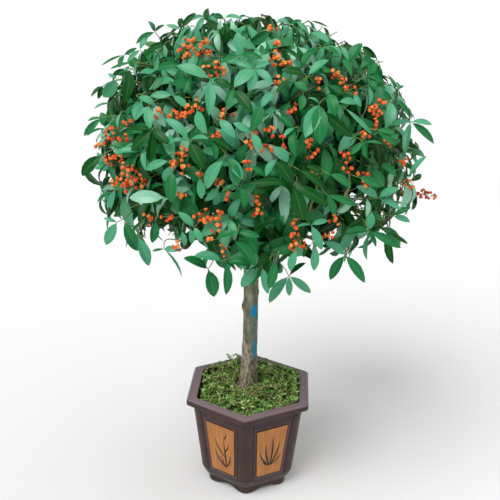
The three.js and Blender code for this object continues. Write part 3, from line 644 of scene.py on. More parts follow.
# Spots on the trunk: level and turn of the middle, half height, half width round it, and rise or strength
trunkBumps = {
    "knob": (0.571, math.pi, 0.011, 0.45, 0.0065), "scar": (0.440, math.pi, 0.008, 0.90, 0.0022),
    "swelling": (0.618, 0.0, 0.010, 0.60, 0.0022),
}
trunkMarks = {"knobEye": (0.571, math.pi, 0.0035, 0.16), "scarLine": (0.438, math.pi, 0.0016, 0.7)}
paintMarks = {
    "blotch": (0.563, -1.02, 0.023, 0.62, 1.0), "streak": (0.438, -0.58, 0.036, 0.75, 0.84),
    "splash": (0.462, -0.90, 0.015, 0.50, 0.52), "tinge": (0.505, -0.80, 0.050, 0.60, 0.22),
}
barkColours = {
    "olive": display(80, 90, 62), "grey": display(116, 117, 99), "pale": display(164, 157, 138),
    "brown": display(84, 80, 68), "pink": display(146, 132, 114), "fork": display(116, 138, 80),
    "crack": display(38, 30, 25), "shade": display(72, 66, 54), "paint": display(14, 128, 178),
    "thinPaint": display(38, 120, 130),
}


# Bark by marks of 0 to 1 that come with the relief: crevice in the cracks, low near the foot, shade,
# paint.
def barkLook():
    look, place = newLook("bark")
    c = barkColours
    stretched = node(look.node_tree, "Mapping", Vector=place, Scale=(1.0, 1.0, 0.4))
    upper = ramp(noise(stretched, 44.0, 5.0, 0.6), (0.36, c["olive"]), (0.5, c["grey"]), (0.68, c["pale"]))
    lower = ramp(noise(stretched, 120.0, 4.0, 0.6), (0.38, c["brown"]), (0.5, c["pink"]), (0.6, c["pale"]))
    colour = blended(markOf(place, "low"), upper, lower)
    colour = over(colour, markOf(place, "shade"), 0.0, 1.0, 0.6, c["shade"])
    colour = over(colour, node(look.node_tree, "SeparateXYZ", 2, i0=place), 0.62, 0.72, 1.0, c["fork"])
    colour = over(colour, markOf(place, "crevice"), 0.2, 0.9, 0.92, c["crack"])
    colour = over(colour, noise(place, 320.0, 3.0, 0.6), 0.6, 0.72, 0.35, c["olive"])
    paint = markOf(place, "paint")
    colour = blended(paint, colour, ramp(paint, (0.72, c["thinPaint"]), (0.95, c["paint"])))
    return shaded(look, colour, 0.86, 0.25, noise(place, 190.0, 8.0, 0.7), 0.6, 0.0012)


def trunkAxis(level):
    s = trunkShape
    level = np.asarray(level, float)
    flare = np.exp(-(level - s["ground"]) / s["flareFade"])
    lean = np.maximum(0, level - s["leanFrom"]) / (s["top"] - s["leanFrom"])
    left, back = s["flareShift"]
    return np.stack([left * flare + s["leanBy"] * lean**2, back * flare, level], -1)


def turnGap(turn, facing):  # the smaller angle between two turns
    return np.abs((turn - facing + 3 * math.pi) % fullTurn - math.pi)


def farFrom(spot, level, turn):  # 1 at the spot's edge
    return ((level - spot[0]) / spot[2]) ** 2 + (turnGap(turn, spot[1]) / spot[3]) ** 2


# A point is the axis plus the radius and its rise, along the turn. The rise is the sum of lobes round the
# foot, bumps and ripples, less cracks, pits, the knob's eye and the scar's line.
def makeTrunk(bark):
    s = trunkShape
    columns, rows = s["columns"], s["rows"]
    level = np.linspace(s["foot"], s["top"], rows)[:, None] * np.ones((1, columns))
    turn = np.arange(columns) * fullTurn / columns * np.ones((rows, 1))
    radius = np.interp(level, *np.array(trunkTaper).T)
    spots = np.dstack([radius[..., None] * turned(turn), level])
    lobes = np.exp(-(level - s["ground"]) / s["lobesFade"]) * np.cos(s["lobes"] * turn + s["lobesTurn"])
    rise = s["lobesRise"] * lobes
    for spot in trunkBumps.values():
        rise = rise + spot[4] * np.exp(-farFrom(spot, level, turn))
    knobEye, scarLine = (np.exp(-farFrom(spot, level, turn)) for spot in trunkMarks.values())
    low = 1 - ease(*s["cracksBelow"], level + 0.02 * ripple(spots, 0.03, 40))
    tall = spots * (1, 1, 0.32)
    ridge = np.abs(ripple(tall, 0.010, 41)) + 0.3 * np.abs(ripple(tall, 0.005, 42))
    crack = (1 - ease(0.05, 0.42, ridge)) * (0.10 + 0.90 * low)
    pits = ease(1.5, 2.1, ripple(spots, 0.009, 43)) * (1 - low)
    rise = rise + s["swell"] * ripple(tall, 0.03, 44) * (0.5 + low) + s["grain"] * ripple(spots, 0.005, 45)
    for depth, mark in zip(s["depths"], (crack, pits, knobEye, scarLine)):
        rise = rise - depth * mark
    points = trunkAxis(level) + (radius + rise)[..., None] * np.dstack([turned(turn), 0 * turn])
    paint = np.zeros_like(level)
    for spot in paintMarks.values():
        far = farFrom(spot, level, turn) + 0.22 * ripple(spots, 0.008, 46)
        paint = np.maximum(paint, spot[4] * (1 - ease(0.5, 1.2, far)))
    marks = {
        "crevice": np.clip(crack + 0.8 * pits + knobEye + scarLine, 0, 1), "low": low,
        "shade": (1 - ease(0.5, 0.8, turnGap(turn, s["shadeTurn"]) + 0.1 * ripple(spots, 0.02, 47))) * low,
        "paint": paint * (1 - 0.4 * crack),
    }
    marks = {name: np.concatenate([values.ravel(), [0, 0]]) for name, values in marks.items()}
    points = np.concatenate([points.reshape(-1, 3), trunkAxis([s["foot"], s["top"] + 0.004])])
    newPiece("barkedTrunk", "bark", ["trunk"], points, stackFaces(rows, columns), [bark], marks=marks)


# Boughs

crown = {
    "centre": np.array([0.002, 0, 1.003]), "spread": 0.438, "rise": 0.382, "drop": 0.246,
    "squareUp": 2.5, "squareDown": 3.0, "heart": 0.42,
}
# Tiers of masses from the top: how many, phase, elevation, then the lowest and highest bough on the trunk
tiers = [
    (1, 0.0, 90, 0.930, 0.930), (5, 0.25, 48, 0.850, 0.876), (7, 0.25, 8, 0.788, 0.824),
    (6, 0.0, -38, 0.730, 0.758),
]


# The generator of numbers from 0 to 1 that lays the masses out, so that boughs fall where the frame's do.
def seeded(state, stride=0x6D2B79F5):
    def draw():
        nonlocal state
        state = (state + stride) % 2**32
        t = ((state ^ (state >> 15)) * (state | 1)) % 2**32
        t ^= (t + (t ^ (t >> 7)) * (t | 61)) % 2**32
        return (t ^ (t >> 14)) / 2**32

    return draw


# The way of each mass from the crown's centre, its turn, and its bough's level on the trunk.
def planMasses():
    draw = seeded(11)
    ways, turns, levels = [], [], []
    for count, phase, elevation, low, high in tiers:
        for k in range(count):
            turn = (k + phase + mix(-0.06, 0.06, draw())) * fullTurn / count
            lift = math.radians(elevation if count == 1 else elevation + mix(-5, 5, draw()))
            ways.append((math.cos(lift) * math.cos(turn), math.cos(lift) * math.sin(turn), math.sin(lift)))
            turns.append(turn)
            levels.append(mix(low, high, (k * 2) % count / max(1, count - 1)))
    return np.array(ways), np.array(turns), np.array(levels)


massWays, massTurns, massLevels = planMasses()
masses = np.arange(len(massWays))
foliageNodes = [f"foliage_{k + 1}" for k in masses]


def massOf(way):
    return (way @ massWays.T).argmax(-1)


def reachOf(way):  # from the crown's centre to its outline
    vertical = np.where(way[..., 2] > 0, crown["rise"], crown["drop"])
    power = np.where(way[..., 2] > 0, crown["squareUp"], crown["squareDown"])
    flat = np.linalg.norm(way[..., :2], axis=-1) / crown["spread"]
    return (flat**power + (np.abs(way[..., 2]) / vertical) ** power) ** (-1 / power)


def crownPoint(way, share):
    return crown["centre"] + way * (reachOf(way) * share)[..., None]


boughShape = {
    "foot": 0.008, "topFoot": 0.0102, "tip": 0.0055, "flare": 0.45, "flareFade": 0.05, "past": 0.001,
    "steps": 26,
}


def planBoughs():  # each bough's curve, its tip and the way it ends
    tip = crownPoint(massWays, crown["heart"])
    root = trunkAxis(massLevels + np.where(masses == 0, 0.0003, 0))
    start = unit(unit(massWays * (1, 1, 0)) + upWay)
    start[0] = upWay
    ending = unit(unit(tip - root) + 0.5 * massWays)
    stretch = 0.4 * norm(tip - root)
    handles = root, root + start * stretch, tip - ending * stretch, tip + ending * boughShape["past"]
    return bezier(*handles, boughShape["steps"]), tip, ending


def barkRelief(points):
    return 0.05 * ripple(points, 0.012, 51) + 0.03 * ripple(points, 0.005, 52)


def makeBoughs(bark):
    s = boughShape
    paths = planBoughs()[0]
    t = np.linspace(0, 1, s["steps"])
    foot = np.where(masses == 0, s["topFoot"], s["foot"])[:, None]
    radii = mix(foot, s["tip"], t) * (1 + s["flare"] * np.exp(-t / s["flareFade"]))
    newTubes("barkedBoughs", "bark", [f"bough_{k + 1}" for k in masses], paths, radii, 14, bark, barkRelief)


# Stems, twigs and shoots of the crown

twigShape = {
    "twigs": 7, "outer": 38, "inner": 13, "widest": 0.80, "lowest": -1.15, "innerLowest": -0.62,
    "lowPulled": 0.16, "topRaised": 0.05, "holeSize": 0.13, "holeShare": 0.42, "stemEnd": 0.84,
    "outerShare": (0.85, 1.0), "innerShare": (0.64, 0.84),
    "stemRadii": (0.0055, 0.003), "twigRadii": (0.0032, 0.0018), "shootRadii": (0.0018, 0.0011),
    "twigSpread": (0.50, 0.68), "twigShare": (0.74, 0.82), "axisSpread": 0.25,
    "clear": 0.075, "clearFlowers": 0.022,
    "wood": display(104, 98, 70), "green": display(104, 128, 66), "olive": display(112, 118, 66),
}
# Sprays that stand clear of the round head: the furthest leaf tip from the crown's centre, in millimetres
stragglers = {
    "flowerSprayRight": (503, -10, -74), "leafLeft": (-488, -6, -22), "topLeft": (-262, 20, 362),
    "topRight": (205, -20, 380), "lobeRight": (336, 40, 286), "back": (30, 474, -60),
    "backHigh": (-60, 458, 90), "front": (-40, -478, -40),
}


# A direction in a mass's own cone, that stays on its side of each neighbour.
def wayInMass(mass, turn, share):
    way = massWays[mass]
    side = np.stack([-np.sin(massTurns[mass]), np.cos(massTurns[mass]), 0 * turn], -1)
    aside = spoke(turn, side, np.cross(way, side))
    walls = way[:, None] - massWays[None]
    towards = -(walls * aside[:, None]).sum(-1)
    upTo = np.arctan2((walls * way[:, None]).sum(-1), towards)
    limit = np.where(towards > 1e-9, upTo, math.pi).min(-1)
    return spoke(share * np.minimum(twigShape["widest"], limit), way, aside)


def growTwigs(dice):
    s = twigShape
    _, foot, ending = planBoughs()
    middle, top = (crownPoint(massWays, np.full(len(masses), share)) for share in (0.6, s["stemEnd"]))
    stemPaths = bezier(foot, foot + ending * 0.025, middle, top, 16)
    mass = np.repeat(masses, s["twigs"])
    k = np.tile(np.arange(s["twigs"]), len(masses))
    turn = k * fullTurn / s["twigs"] + dice.uniform(-0.3, 0.3, len(k)) + mass
    way = wayInMass(mass, turn, dice.uniform(*s["twigSpread"], len(k)))
    tip = crownPoint(way, dice.uniform(*s["twigShare"], len(k)))
    step = 1 + k * 12 // s["twigs"]
    root = stemPaths[mass, step]
    start = unit(unit(stemPaths[mass, step + 1] - root) + unit(tip - root))
    return stemPaths, grownCurve(root, start, unit(way + 0.25 * upWay), tip, 0.36, 14), mass


# free is 0 for a spray of the head, 1 for one that stands clear, 2 for one with no leaves by the rule.
# inner is 1 for a spray inside the head, -1 for one that shows to the camera.
def sprayTable(way, tip, axis, inner, free):
    count = len(tip)
    return {"mass": massOf(way), "way": way, "tip": tip, "axis": unit(axis),
            "inner": np.full(count, inner), "free": np.full(count, free)}


# Outer and inner sprays of each mass by the golden angle, but none in a hole of the head.
def planSprays(dice):
    s = twigShape
    rows = []
    for many, shares, inner in ((s["outer"], s["outerShare"], 0), (s["inner"], s["innerShare"], 1)):
        mass = np.repeat(masses, many)
        k = np.tile(np.arange(many), len(masses))
        turn = k * goldenAngle + dice.uniform(0, 0.5, len(k)) + mass
        way = wayInMass(mass, turn, 0.98 * np.sqrt((k + 0.4) / many))
        share = dice.uniform(*shares, len(k))
        rows.append({"mass": mass, "way": way, "share": share, "inner": np.full(len(k), inner)})
    rows = stacked(*rows)
    level = rows["way"][:, 2]
    kept = np.arcsin(np.clip(level, -1, 1)) > s["lowest"]
    rows = picked(rows, kept & ((rows["inner"] < 1) | (level > s["innerLowest"])))
    way = rows["way"]
    level = way[:, 2:3]
    pulled = 1 - s["lowPulled"] * ease(0.3, 0.7, -level) + s["topRaised"] * ease(0.45, 0.9, level)
    tip = crownPoint(way, rows.pop("share") * pulled[:, 0])
    hole = (ripple(tip, s["holeSize"], 27) > s["holeShare"]) & (level[:, 0] < 0.05)
    lean = unit(way * (1, 1, 0)) * 0.9 * ease(0.2, 0.8, level) - upWay * 0.35 * ease(0.1, 0.6, -level)
    axis = way * (1 - 0.35 * ease(0.2, 0.8, level)) + lean + dice.normal(0, s["axisSpread"], way.shape)
    rows = rows | {"tip": tip, "axis": unit(axis), "free": np.zeros(len(tip), int)}
    return picked(rows, ~hole & ~belowEdge(toPixels(tip - upWay * 0.02)))


def planStragglers(dice):
    s = twigShape
    offset = np.array(list(stragglers.values())) / 1000
    first = np.arange(len(offset)) == 0
    way = unit(offset)
    tip = crown["centre"] + offset - way * np.where(first, s["clearFlowers"], s["clear"])[:, None]
    return sprayTable(way, tip, way + dice.normal(0, 0.08, way.shape), 0, np.where(first, 2, 1))


# A shoot to each spray, from the nearest point of a twig of the same mass.
def growShoots(sprays, twigPaths, twigMass):
    tip, axis = sprays["tip"], sprays["axis"]
    places = twigPaths[:, 4:].reshape(-1, 3)
    other = np.repeat(twigMass, twigPaths.shape[1] - 4)[None] != sprays["mass"][:, None]
    gap = np.linalg.norm(places[None] - (tip - axis * 0.05)[:, None], axis=-1) + 9.0 * other
    root = places[gap.argmin(-1)]
    return grownCurve(root, unit(unit(tip - root) + 0.5 * sprays["way"]), axis, tip, 0.4, 9)


def makeTwigs(stemPaths, twigPaths, shootPaths, limbPaths):
    s = twigShape
    wood = softLook("twigWood", s["wood"], 0.8, 40.0, 0.3)
    green = softLook("shootGreen", s["green"], 0.6, 40.0, 0.25)
    olive = softLook("limbOlive", s["olive"], 0.7, 60.0, 0.3)
    for name, paths, radii, sides, look in (
        ("massStems", stemPaths, s["stemRadii"], 10, wood), ("twigs", twigPaths, s["twigRadii"], 7, wood),
        ("shoots", shootPaths, s["shootRadii"], 5, green),
        ("bareLimbs", limbPaths, limbShape["radii"], 9, olive),
    ):
        radii = mix(*radii, np.linspace(0, 1, paths.shape[1]))
        newTubes(name, "foliage", foliageNodes, paths, radii, sides, look)


# Leaves

leafShape = {
    "stations": (0.015, 0.09, 0.20, 0.36, 0.54, 0.72, 0.88), "strips": (-1, -0.55, -0.06, 0.06, 0.55, 1),
    "petiole": 0.035, "petioleEnd": 0.07, "thick": 0.0006, "length": (0.070, 0.102), "slim": (0.30, 0.38),
    "pairsBack": (0.002, 0.014, 0.032, 0.056), "splay": (0.70, 1.0, 1.16, 1.28),
    "scale": (0.66, 0.92, 1.0, 1.0), "droop": (0.25, 0.90), "bend": (0.65, 1.65), "fold": (0.10, 0.45),
    "twist": (-0.34, 0.34), "furthest": (1.13, 1.35, 1.35), "freeSplay": 0.75, "freeHang": 0.35,
    "lowHang": 0.30, "topHang": 0.25, "spread": 0.42, "trunkGap": 0.034, "lowThinned": 0.26,
    "lastThinned": 0.25,
}
# Leaf tints: the upper side, then how common it is high and low outside, on inner sprays and on shown
# ones. The pale and soft tints, common high up and rare inside, are partly painted sheen, and the dark and
# deep tints, common on inner sprays and low down, are partly painted shade.
leafTints = {
    "jade": (display(20, 106, 55), 0.32, 0.34, 0.10, 0.44),
    "deep": (display(4, 74, 22), 0.16, 0.30, 0.30, 0.14),
    "soft": (display(66, 146, 106), 0.30, 0.22, 0.02, 0.42),
    "pale": (display(124, 180, 150), 0.17, 0.08, 0.0, 0.0),
    "dark": (display(1, 44, 8), 0.05, 0.10, 0.58, 0.0),
}
oddLeaves = 0.25  # the share of leaves that don't have their spray's tint
underside = display(98, 158, 104)


# Leaf blades as closed thin shells. The midline is an arc: root plus length times sine of (bend s) over
# bend along, less one minus its cosine over bend out. A strip lies across at its share of the half width,
# a power of the sine of pi times the way along the blade, and folds up by the fold. The strips turn about
# the midline by the twist times the way along it.
def leafPoints(leaves):
    s = leafShape
    station = np.array((0.0,) + s["stations"] + (1.0,))
    blade = np.clip((station - s["petioleEnd"]) / (1 - s["petioleEnd"]), 0, 1)
    half = 0.5 * np.maximum(s["petiole"], np.sin(math.pi * blade**0.92) ** 0.78)
    along, out = leaves["along"][:, None], leaves["out"][:, None]
    across = np.cross(along, out)
    length, k, fold = (leaves[name][:, None, None] for name in ("length", "bend", "fold"))
    turn = k * station[:, None]
    middle = leaves["root"][:, None] + length * (np.sin(turn) / k * along + (np.cos(turn) - 1) / k * out)
    straight = np.cos(turn) * out + np.sin(turn) * along
    roll = leaves["twist"][:, None, None] * station[:, None]
    normal = np.cos(roll) * straight - np.sin(roll) * across
    across = np.cos(roll) * across + np.sin(roll) * straight
    x = np.array(s["strips"] + (0.0,))
    lift = np.array([0, 0.6, 0.7, 0.7, 0.6, 0, -0.7]) * s["thick"]
    reach = (leaves["width"][:, None] * half)[:, 1:-1, None]
    aside = (reach * x * np.cos(fold))[..., None]
    height = (reach * np.abs(x) * np.sin(fold) + lift)[..., None]
    rings = middle[:, 1:-1, None] + aside * across[:, 1:-1, None] + height * normal[:, 1:-1, None]
    return np.concatenate([rings.reshape(len(middle), -1, 3), middle[:, [0, -1]]], 1)


# Four crossed pairs to a spray, the last the widest apart. Leaves hang more at the head's top and foot,
# and face out and up. A leaf stays if its tip keeps within the crown's reach and clear of the trunk.
def planLeaves(sprays, dice):
    s = leafShape
    count = len(sprays["tip"])
    spray = np.repeat(np.arange(count), 8)
    second, pair = np.arange(8 * count) % 2, np.arange(8 * count) % 8 // 2
    axis, way, tip, free = (sprays[name][spray] for name in ("axis", "way", "tip", "free"))
    scale, splay, back = (np.array(s[name])[pair] for name in ("scale", "splay", "pairsBack"))
    side = unit(np.cross(axis, upWay + 0.01))
    turn = dice.uniform(0, math.pi, count)[spray] + pair * math.pi / 2 + second * math.pi
    turn = turn + dice.normal(0, 0.2, len(spray))
    splay = (splay + dice.normal(0, 0.14, len(spray))) * np.where(free > 0, s["freeSplay"], 1)
    along = spoke(splay, axis, spoke(turn, side, np.cross(axis, side)))
    level = way[:, 2]
    hang = dice.uniform(*s["droop"], len(spray)) + s["lowHang"] * ease(0.1, 0.7, -level)
    hang = (hang + s["topHang"] * ease(0.2, 0.8, level)) * np.where(free > 0, s["freeHang"], 1)
    along = unit(along - upWay * hang[:, None])
    facing = 0.6 * way + (0.6 + 0.4 * ease(-0.1, 0.5, level))[:, None] * upWay
    facing = facing + 0.45 * unit(way * (1, 1, 0)) + 0.2 * axis + dice.normal(0, s["spread"], axis.shape)
    root, out = tip - axis * back[:, None], square(facing, along)
    leaves = {"root": root, "along": along, "out": out, "spray": spray}
    leaves["length"] = dice.uniform(*s["length"], len(spray)) * scale
    leaves["width"] = leaves["length"] * dice.uniform(*s["slim"], len(spray))
    for name in ("bend", "fold", "twist"):
        leaves[name] = dice.uniform(*s[name], len(spray))
    offset = leaves["root"] + along * leaves["length"][:, None] * 0.93 - crown["centre"]
    place = offset + crown["centre"]
    within = norm(offset)[:, 0] / reachOf(unit(offset)) < np.array(s["furthest"])[free]
    clear = norm(place[:, :2] - trunkAxis(place[:, 2])[:, :2])[:, 0] > s["trunkGap"]
    fewer = 1 - s["lowThinned"] * ease(-0.05, 0.40, -level) * (free < 1)
    fewer = fewer * (1 - s["lastThinned"] * (pair == 3)) * (free < 2)
    return picked(leaves, within & clear & (dice.uniform(0, 1, len(spray)) < fewer))


def makeLeaves(sprays, leaves, dice):
    rows, columns = len(leafShape["stations"]), len(leafShape["strips"]) + 1
    strip = np.array([0, 0, 1, 0, 0, 2, 2])  # material across one ring: upper side, rib, underside
    high, low, inner, shown = np.array([tint[1:] for tint in leafTints.values()]).T
    # the weights paint light and shade: pale and soft tints go high up, dark and deep ones inside and low
    # down
    upper = ease(-0.35, 0.55, sprays["way"][:, 2:3])
    depth = sprays["inner"][:, None]
    shares = np.where(depth > 0, inner, np.where(depth < 0, shown, mix(low, high, upper)))
    chances = shares.cumsum(1)[leaves["spray"]]
    ofSpray = dice.uniform(0, 1, len(depth))[leaves["spray"]]
    odd = dice.uniform(0, 1, (2, len(ofSpray)))
    draw = np.where(odd[0] < oddLeaves, odd[1], ofSpray)
    number = (draw[:, None] > chances[:, :-1] / chances[:, -1:]).sum(-1)
    below = plainLook("leafUnderside", underside, 0.6)
    for k, (name, (green, *_)) in enumerate(leafTints.items()):
        points = leafPoints(picked(leaves, number == k))
        rib = tuple(mix(v, 0.40, 0.09) for v in green[:2]) + (green[2] * 1.1, 1.0)
        kind, copies = name.capitalize(), len(points)
        upperSide = plainLook("leaf" + kind, green, 0.36, 0.11 + 0.6 * green[1])
        looks = [upperSide, plainLook("rib" + kind, rib, 0.45), below]
        faces, lookOf = stackFaces(rows, columns, copies), np.tile(strip, (rows + 1) * copies)
        piece = newPiece("leaves" + kind, "foliage", foliageNodes, points, faces, looks, lookOf)
        piece.data.set_sharp_from_angle(angle=math.radians(60))
    print("leaves:", len(number))


# Leaves that show one by one from the photo's camera

shownShape = {
    "share": 1.01, "raised": 0.008, "halfBend": (0.20, 0.65), "fold": (0.12, 0.50), "twist": (-0.30, 0.30),
    "lowRow": 225, "lift": 0.045, "tipDepth": (-0.45, 0.25), "skyward": 0.7, "spread": 0.32,
}
# By the frame's pixels: each spray's node, then each leaf's tip and its width in hundredths of its length
shownSprays = [
    (102, 118, 84, 136, 30, 88, 121, 25), (102, 155, 82, 176, 42), (112, 192, 97, 203, 40),
    (117, 222, 106, 245, 42, 104, 218, 30), (124, 221, 138, 251, 40), (138, 237, 149, 266, 40),
    (155, 221, 152, 243, 50), (164, 249, 182, 277, 10, 180, 250, 42, 152, 251, 25),
    (182, 231, 185, 246, 40), (190, 228, 192, 244, 40), (194, 227, 202, 242, 45, 178, 212, 40),
    (208, 269, 183, 258, 42, 214, 297, 50), (222, 261, 194, 256, 42),
    (226, 262, 226, 295, 33, 254, 266, 40, 236, 270, 30), (234, 240, 256, 266, 38),
    (238, 232, 216, 239, 40, 260, 237, 35), (259, 269, 241, 287, 50), (262, 267, 268, 294, 33),
    (276, 261, 269, 289, 35), (289, 276, 306, 263, 36, 311, 293, 33, 289, 296, 35, 269, 303, 35),
    (296, 250, 290, 271, 45), (311, 225, 322, 250, 35, 297, 227, 35, 328, 221, 35),
    (316, 246, 314, 271, 38), (312, 244, 304, 258, 35),
    (345, 255, 330, 280, 40, 365, 283, 33, 324, 242, 40), (370, 234, 367, 260, 35),
    (369, 231, 345, 235, 40, 401, 248, 28, 376, 247, 30), (388, 232, 393, 264, 28, 408, 244, 20),
    (393, 216, 411, 207, 35, 410, 222, 40), (408, 179, 427, 156, 20),
    (411, 122, 432, 125, 35, 434, 144, 30, 405, 156, 22, 396, 99, 22, 388, 126, 25),
    (310, 21, 328, 27, 12), (210, 79, 176, 66, 35, 231, 88, 40, 209, 116, 30), (180, 65, 157, 70, 40),
    (191, 73, 184, 94, 35), (173, 95, 187, 109, 50, 150, 96, 35), (138, 97, 155, 106, 45),
    (164, 76, 153, 90, 45), (130, 70, 124, 103, 33), (149, 106, 150, 129, 42, 136, 120, 25),
    (164, 44, 143, 58, 28, 166, 58, 30), (133, 62, 110, 69, 15),
    (255, 69, 234, 61, 30, 234, 87, 45, 248, 91, 40, 273, 84, 36, 270, 63, 42),
    (240, 55, 220, 64, 30, 263, 59, 28, 237, 32, 50), (270, 31, 247, 45, 40),
    (233, 89, 226, 107, 40, 253, 113, 35, 213, 80, 40), (273, 93, 261, 108, 45), (262, 104, 251, 132, 38),
    (304, 74, 281, 70, 40), (308, 76, 329, 60, 38), (320, 48, 306, 52, 30, 301, 68, 32, 340, 56, 30),
    (293, 82, 308, 91, 45, 276, 94, 30), (303, 94, 300, 111, 50),
    (319, 104, 305, 138, 42, 308, 98, 30, 320, 145, 40), (323, 110, 353, 137, 30),
    (329, 93, 336, 117, 45), (354, 95, 361, 107, 45), (349, 62, 362, 43, 55, 341, 47, 30),
    (362, 46, 377, 58, 42, 349, 50, 30), (377, 61, 360, 70, 50), (373, 64, 384, 82, 36, 363, 57, 45),
    (396, 90, 388, 75, 28, 404, 86, 40), (368, 72, 378, 91, 40), (345, 108, 372, 135, 13),
    (390, 102, 389, 126, 42), (377, 130, 395, 133, 38, 395, 145, 33),
    (363, 143, 383, 144, 25, 366, 158, 40, 350, 155, 35),
    (152, 130, 128, 130, 40, 131, 151, 35, 170, 145, 40, 149, 162, 38),
    (189, 141, 168, 144, 36, 209, 139, 34, 204, 170, 42, 165, 119, 33), (209, 137, 232, 152, 35),
    (223, 160, 207, 189, 45), (142, 152, 114, 154, 30), (169, 161, 146, 170, 38),
    (172, 170, 171, 203, 38), (199, 178, 201, 199, 45), (197, 110, 207, 134, 45),
    (212, 141, 216, 160, 40), (251, 132, 261, 151, 42, 233, 123, 42), (219, 120, 235, 138, 42),
    (227, 157, 243, 180, 42, 239, 185, 35), (294, 128, 284, 137, 45, 296, 157, 40, 280, 115, 35),
    (293, 185, 277, 161, 45, 252, 197, 33, 327, 205, 30, 304, 221, 42, 248, 184, 20),
    (288, 163, 274, 147, 50), (277, 159, 266, 177, 45), (266, 178, 251, 167, 40, 282, 185, 30),
    (240, 187, 221, 193, 40, 244, 208, 50), (299, 170, 324, 191, 30), (321, 172, 307, 166, 45),
    (329, 174, 351, 188, 40), (358, 177, 382, 187, 35),
    (378, 198, 399, 189, 45, 401, 210, 30, 356, 186, 35), (327, 195, 357, 206, 25, 335, 215, 40),
    (384, 220, 368, 211, 25), (372, 212, 370, 229, 55), (155, 32, 148, 21, 45, 136, 44, 35, 165, 25, 35),
    (181, 29, 166, 25, 30, 179, 18, 40, 196, 13, 32), (205, 17, 190, 21, 35, 196, 34, 32, 218, 23, 40),
    (224, 18, 212, 15, 50, 243, 20, 30), (124, 55, 101, 66, 12, 120, 68, 50, 137, 48, 30),
    (117, 79, 103, 97, 55, 108, 74, 40), (103, 86, 91, 97, 28, 98, 99, 40),
    (309, 33, 330, 44, 42, 297, 22, 30), (290, 24, 302, 21, 35, 277, 20, 35),
    (323, 47, 345, 56, 28, 336, 44, 35), (342, 58, 352, 77, 30), (367, 76, 383, 82, 35, 377, 63, 50),
    (383, 90, 391, 100, 50, 378, 80, 35), (396, 100, 409, 117, 30), (140, 50, 127, 62, 30, 148, 38, 40),
]
# Gaps where the sky shows: middle, half width and half height. Then the lower edge of the head, along
# which no other leaf hangs further down.
skyGaps = [
    (148, 238, 3, 5), (170, 240, 5, 4), (187, 230, 2, 4), (195, 248, 10, 6), (156, 247, 6, 3),
    (214, 269, 6, 3), (354, 216, 4, 6), (311, 234, 3, 4), (306, 244, 5, 3), (332, 232, 3, 6),
    (363, 240, 5, 4), (380, 239, 6, 4), (400, 219, 6, 3), (285, 269, 4, 3), (190, 176, 3, 3),
    (181, 171, 2, 2), (152, 179, 4, 2), (318, 158, 2, 2), (327, 157, 2, 2), (355, 193, 4, 3),
    (361, 202, 3, 2), (386, 206, 3, 2), (307, 163, 2, 2), (186, 10, 6, 5), (339, 31, 9, 8),
    (352, 33, 9, 6), (393, 62, 10, 8), (406, 73, 8, 8), (415, 100, 6, 10), (310, 12, 9, 5),
]
lowerEdge = [
    (90, 190), (105, 212), (118, 222), (125, 232), (135, 240), (150, 243), (165, 247), (178, 246),
    (190, 240), (200, 243), (207, 256), (215, 262), (230, 266), (250, 268), (262, 272), (275, 268),
    (285, 258), (298, 252), (310, 250), (350, 252), (365, 246), (380, 244), (392, 240), (402, 228),
    (412, 205), (430, 180),
]


def toPixels(points):  # where the photo's camera sees each point
    local = (points - eye) @ eyeAxes
    return view["frame"] / 2 + view["focal"] * local[..., :2] * (1, -1) / -local[..., 2:]


def belowEdge(pixels):
    return pixels[..., 1] > np.interp(pixels[..., 0], *np.array(lowerEdge, float).T)


# Where each pixel's ray first meets the crown's outline, by halving the stretch in front of its middle.
def onOutline(pixels, share, inFront=0.75, halvings=24):
    half = view["frame"] / 2
    local = np.stack([(pixels[:, 0] - half) / view["focal"], (half - pixels[:, 1]) / view["focal"],
                      -np.ones(len(pixels))], -1)
    ray = unit(local @ eyeAxes.T)
    near = (ray * (crown["centre"] - eye)).sum(-1)[:, None]
    far = near - inFront
    for _ in range(halvings):
        step = (near + far) / 2
        offset = eye + ray * step - crown["centre"]
        inside = norm(offset) < reachOf(unit(offset))[:, None] * share
        near, far = np.where(inside, step, near), np.where(inside, far, step)
    return ray, near


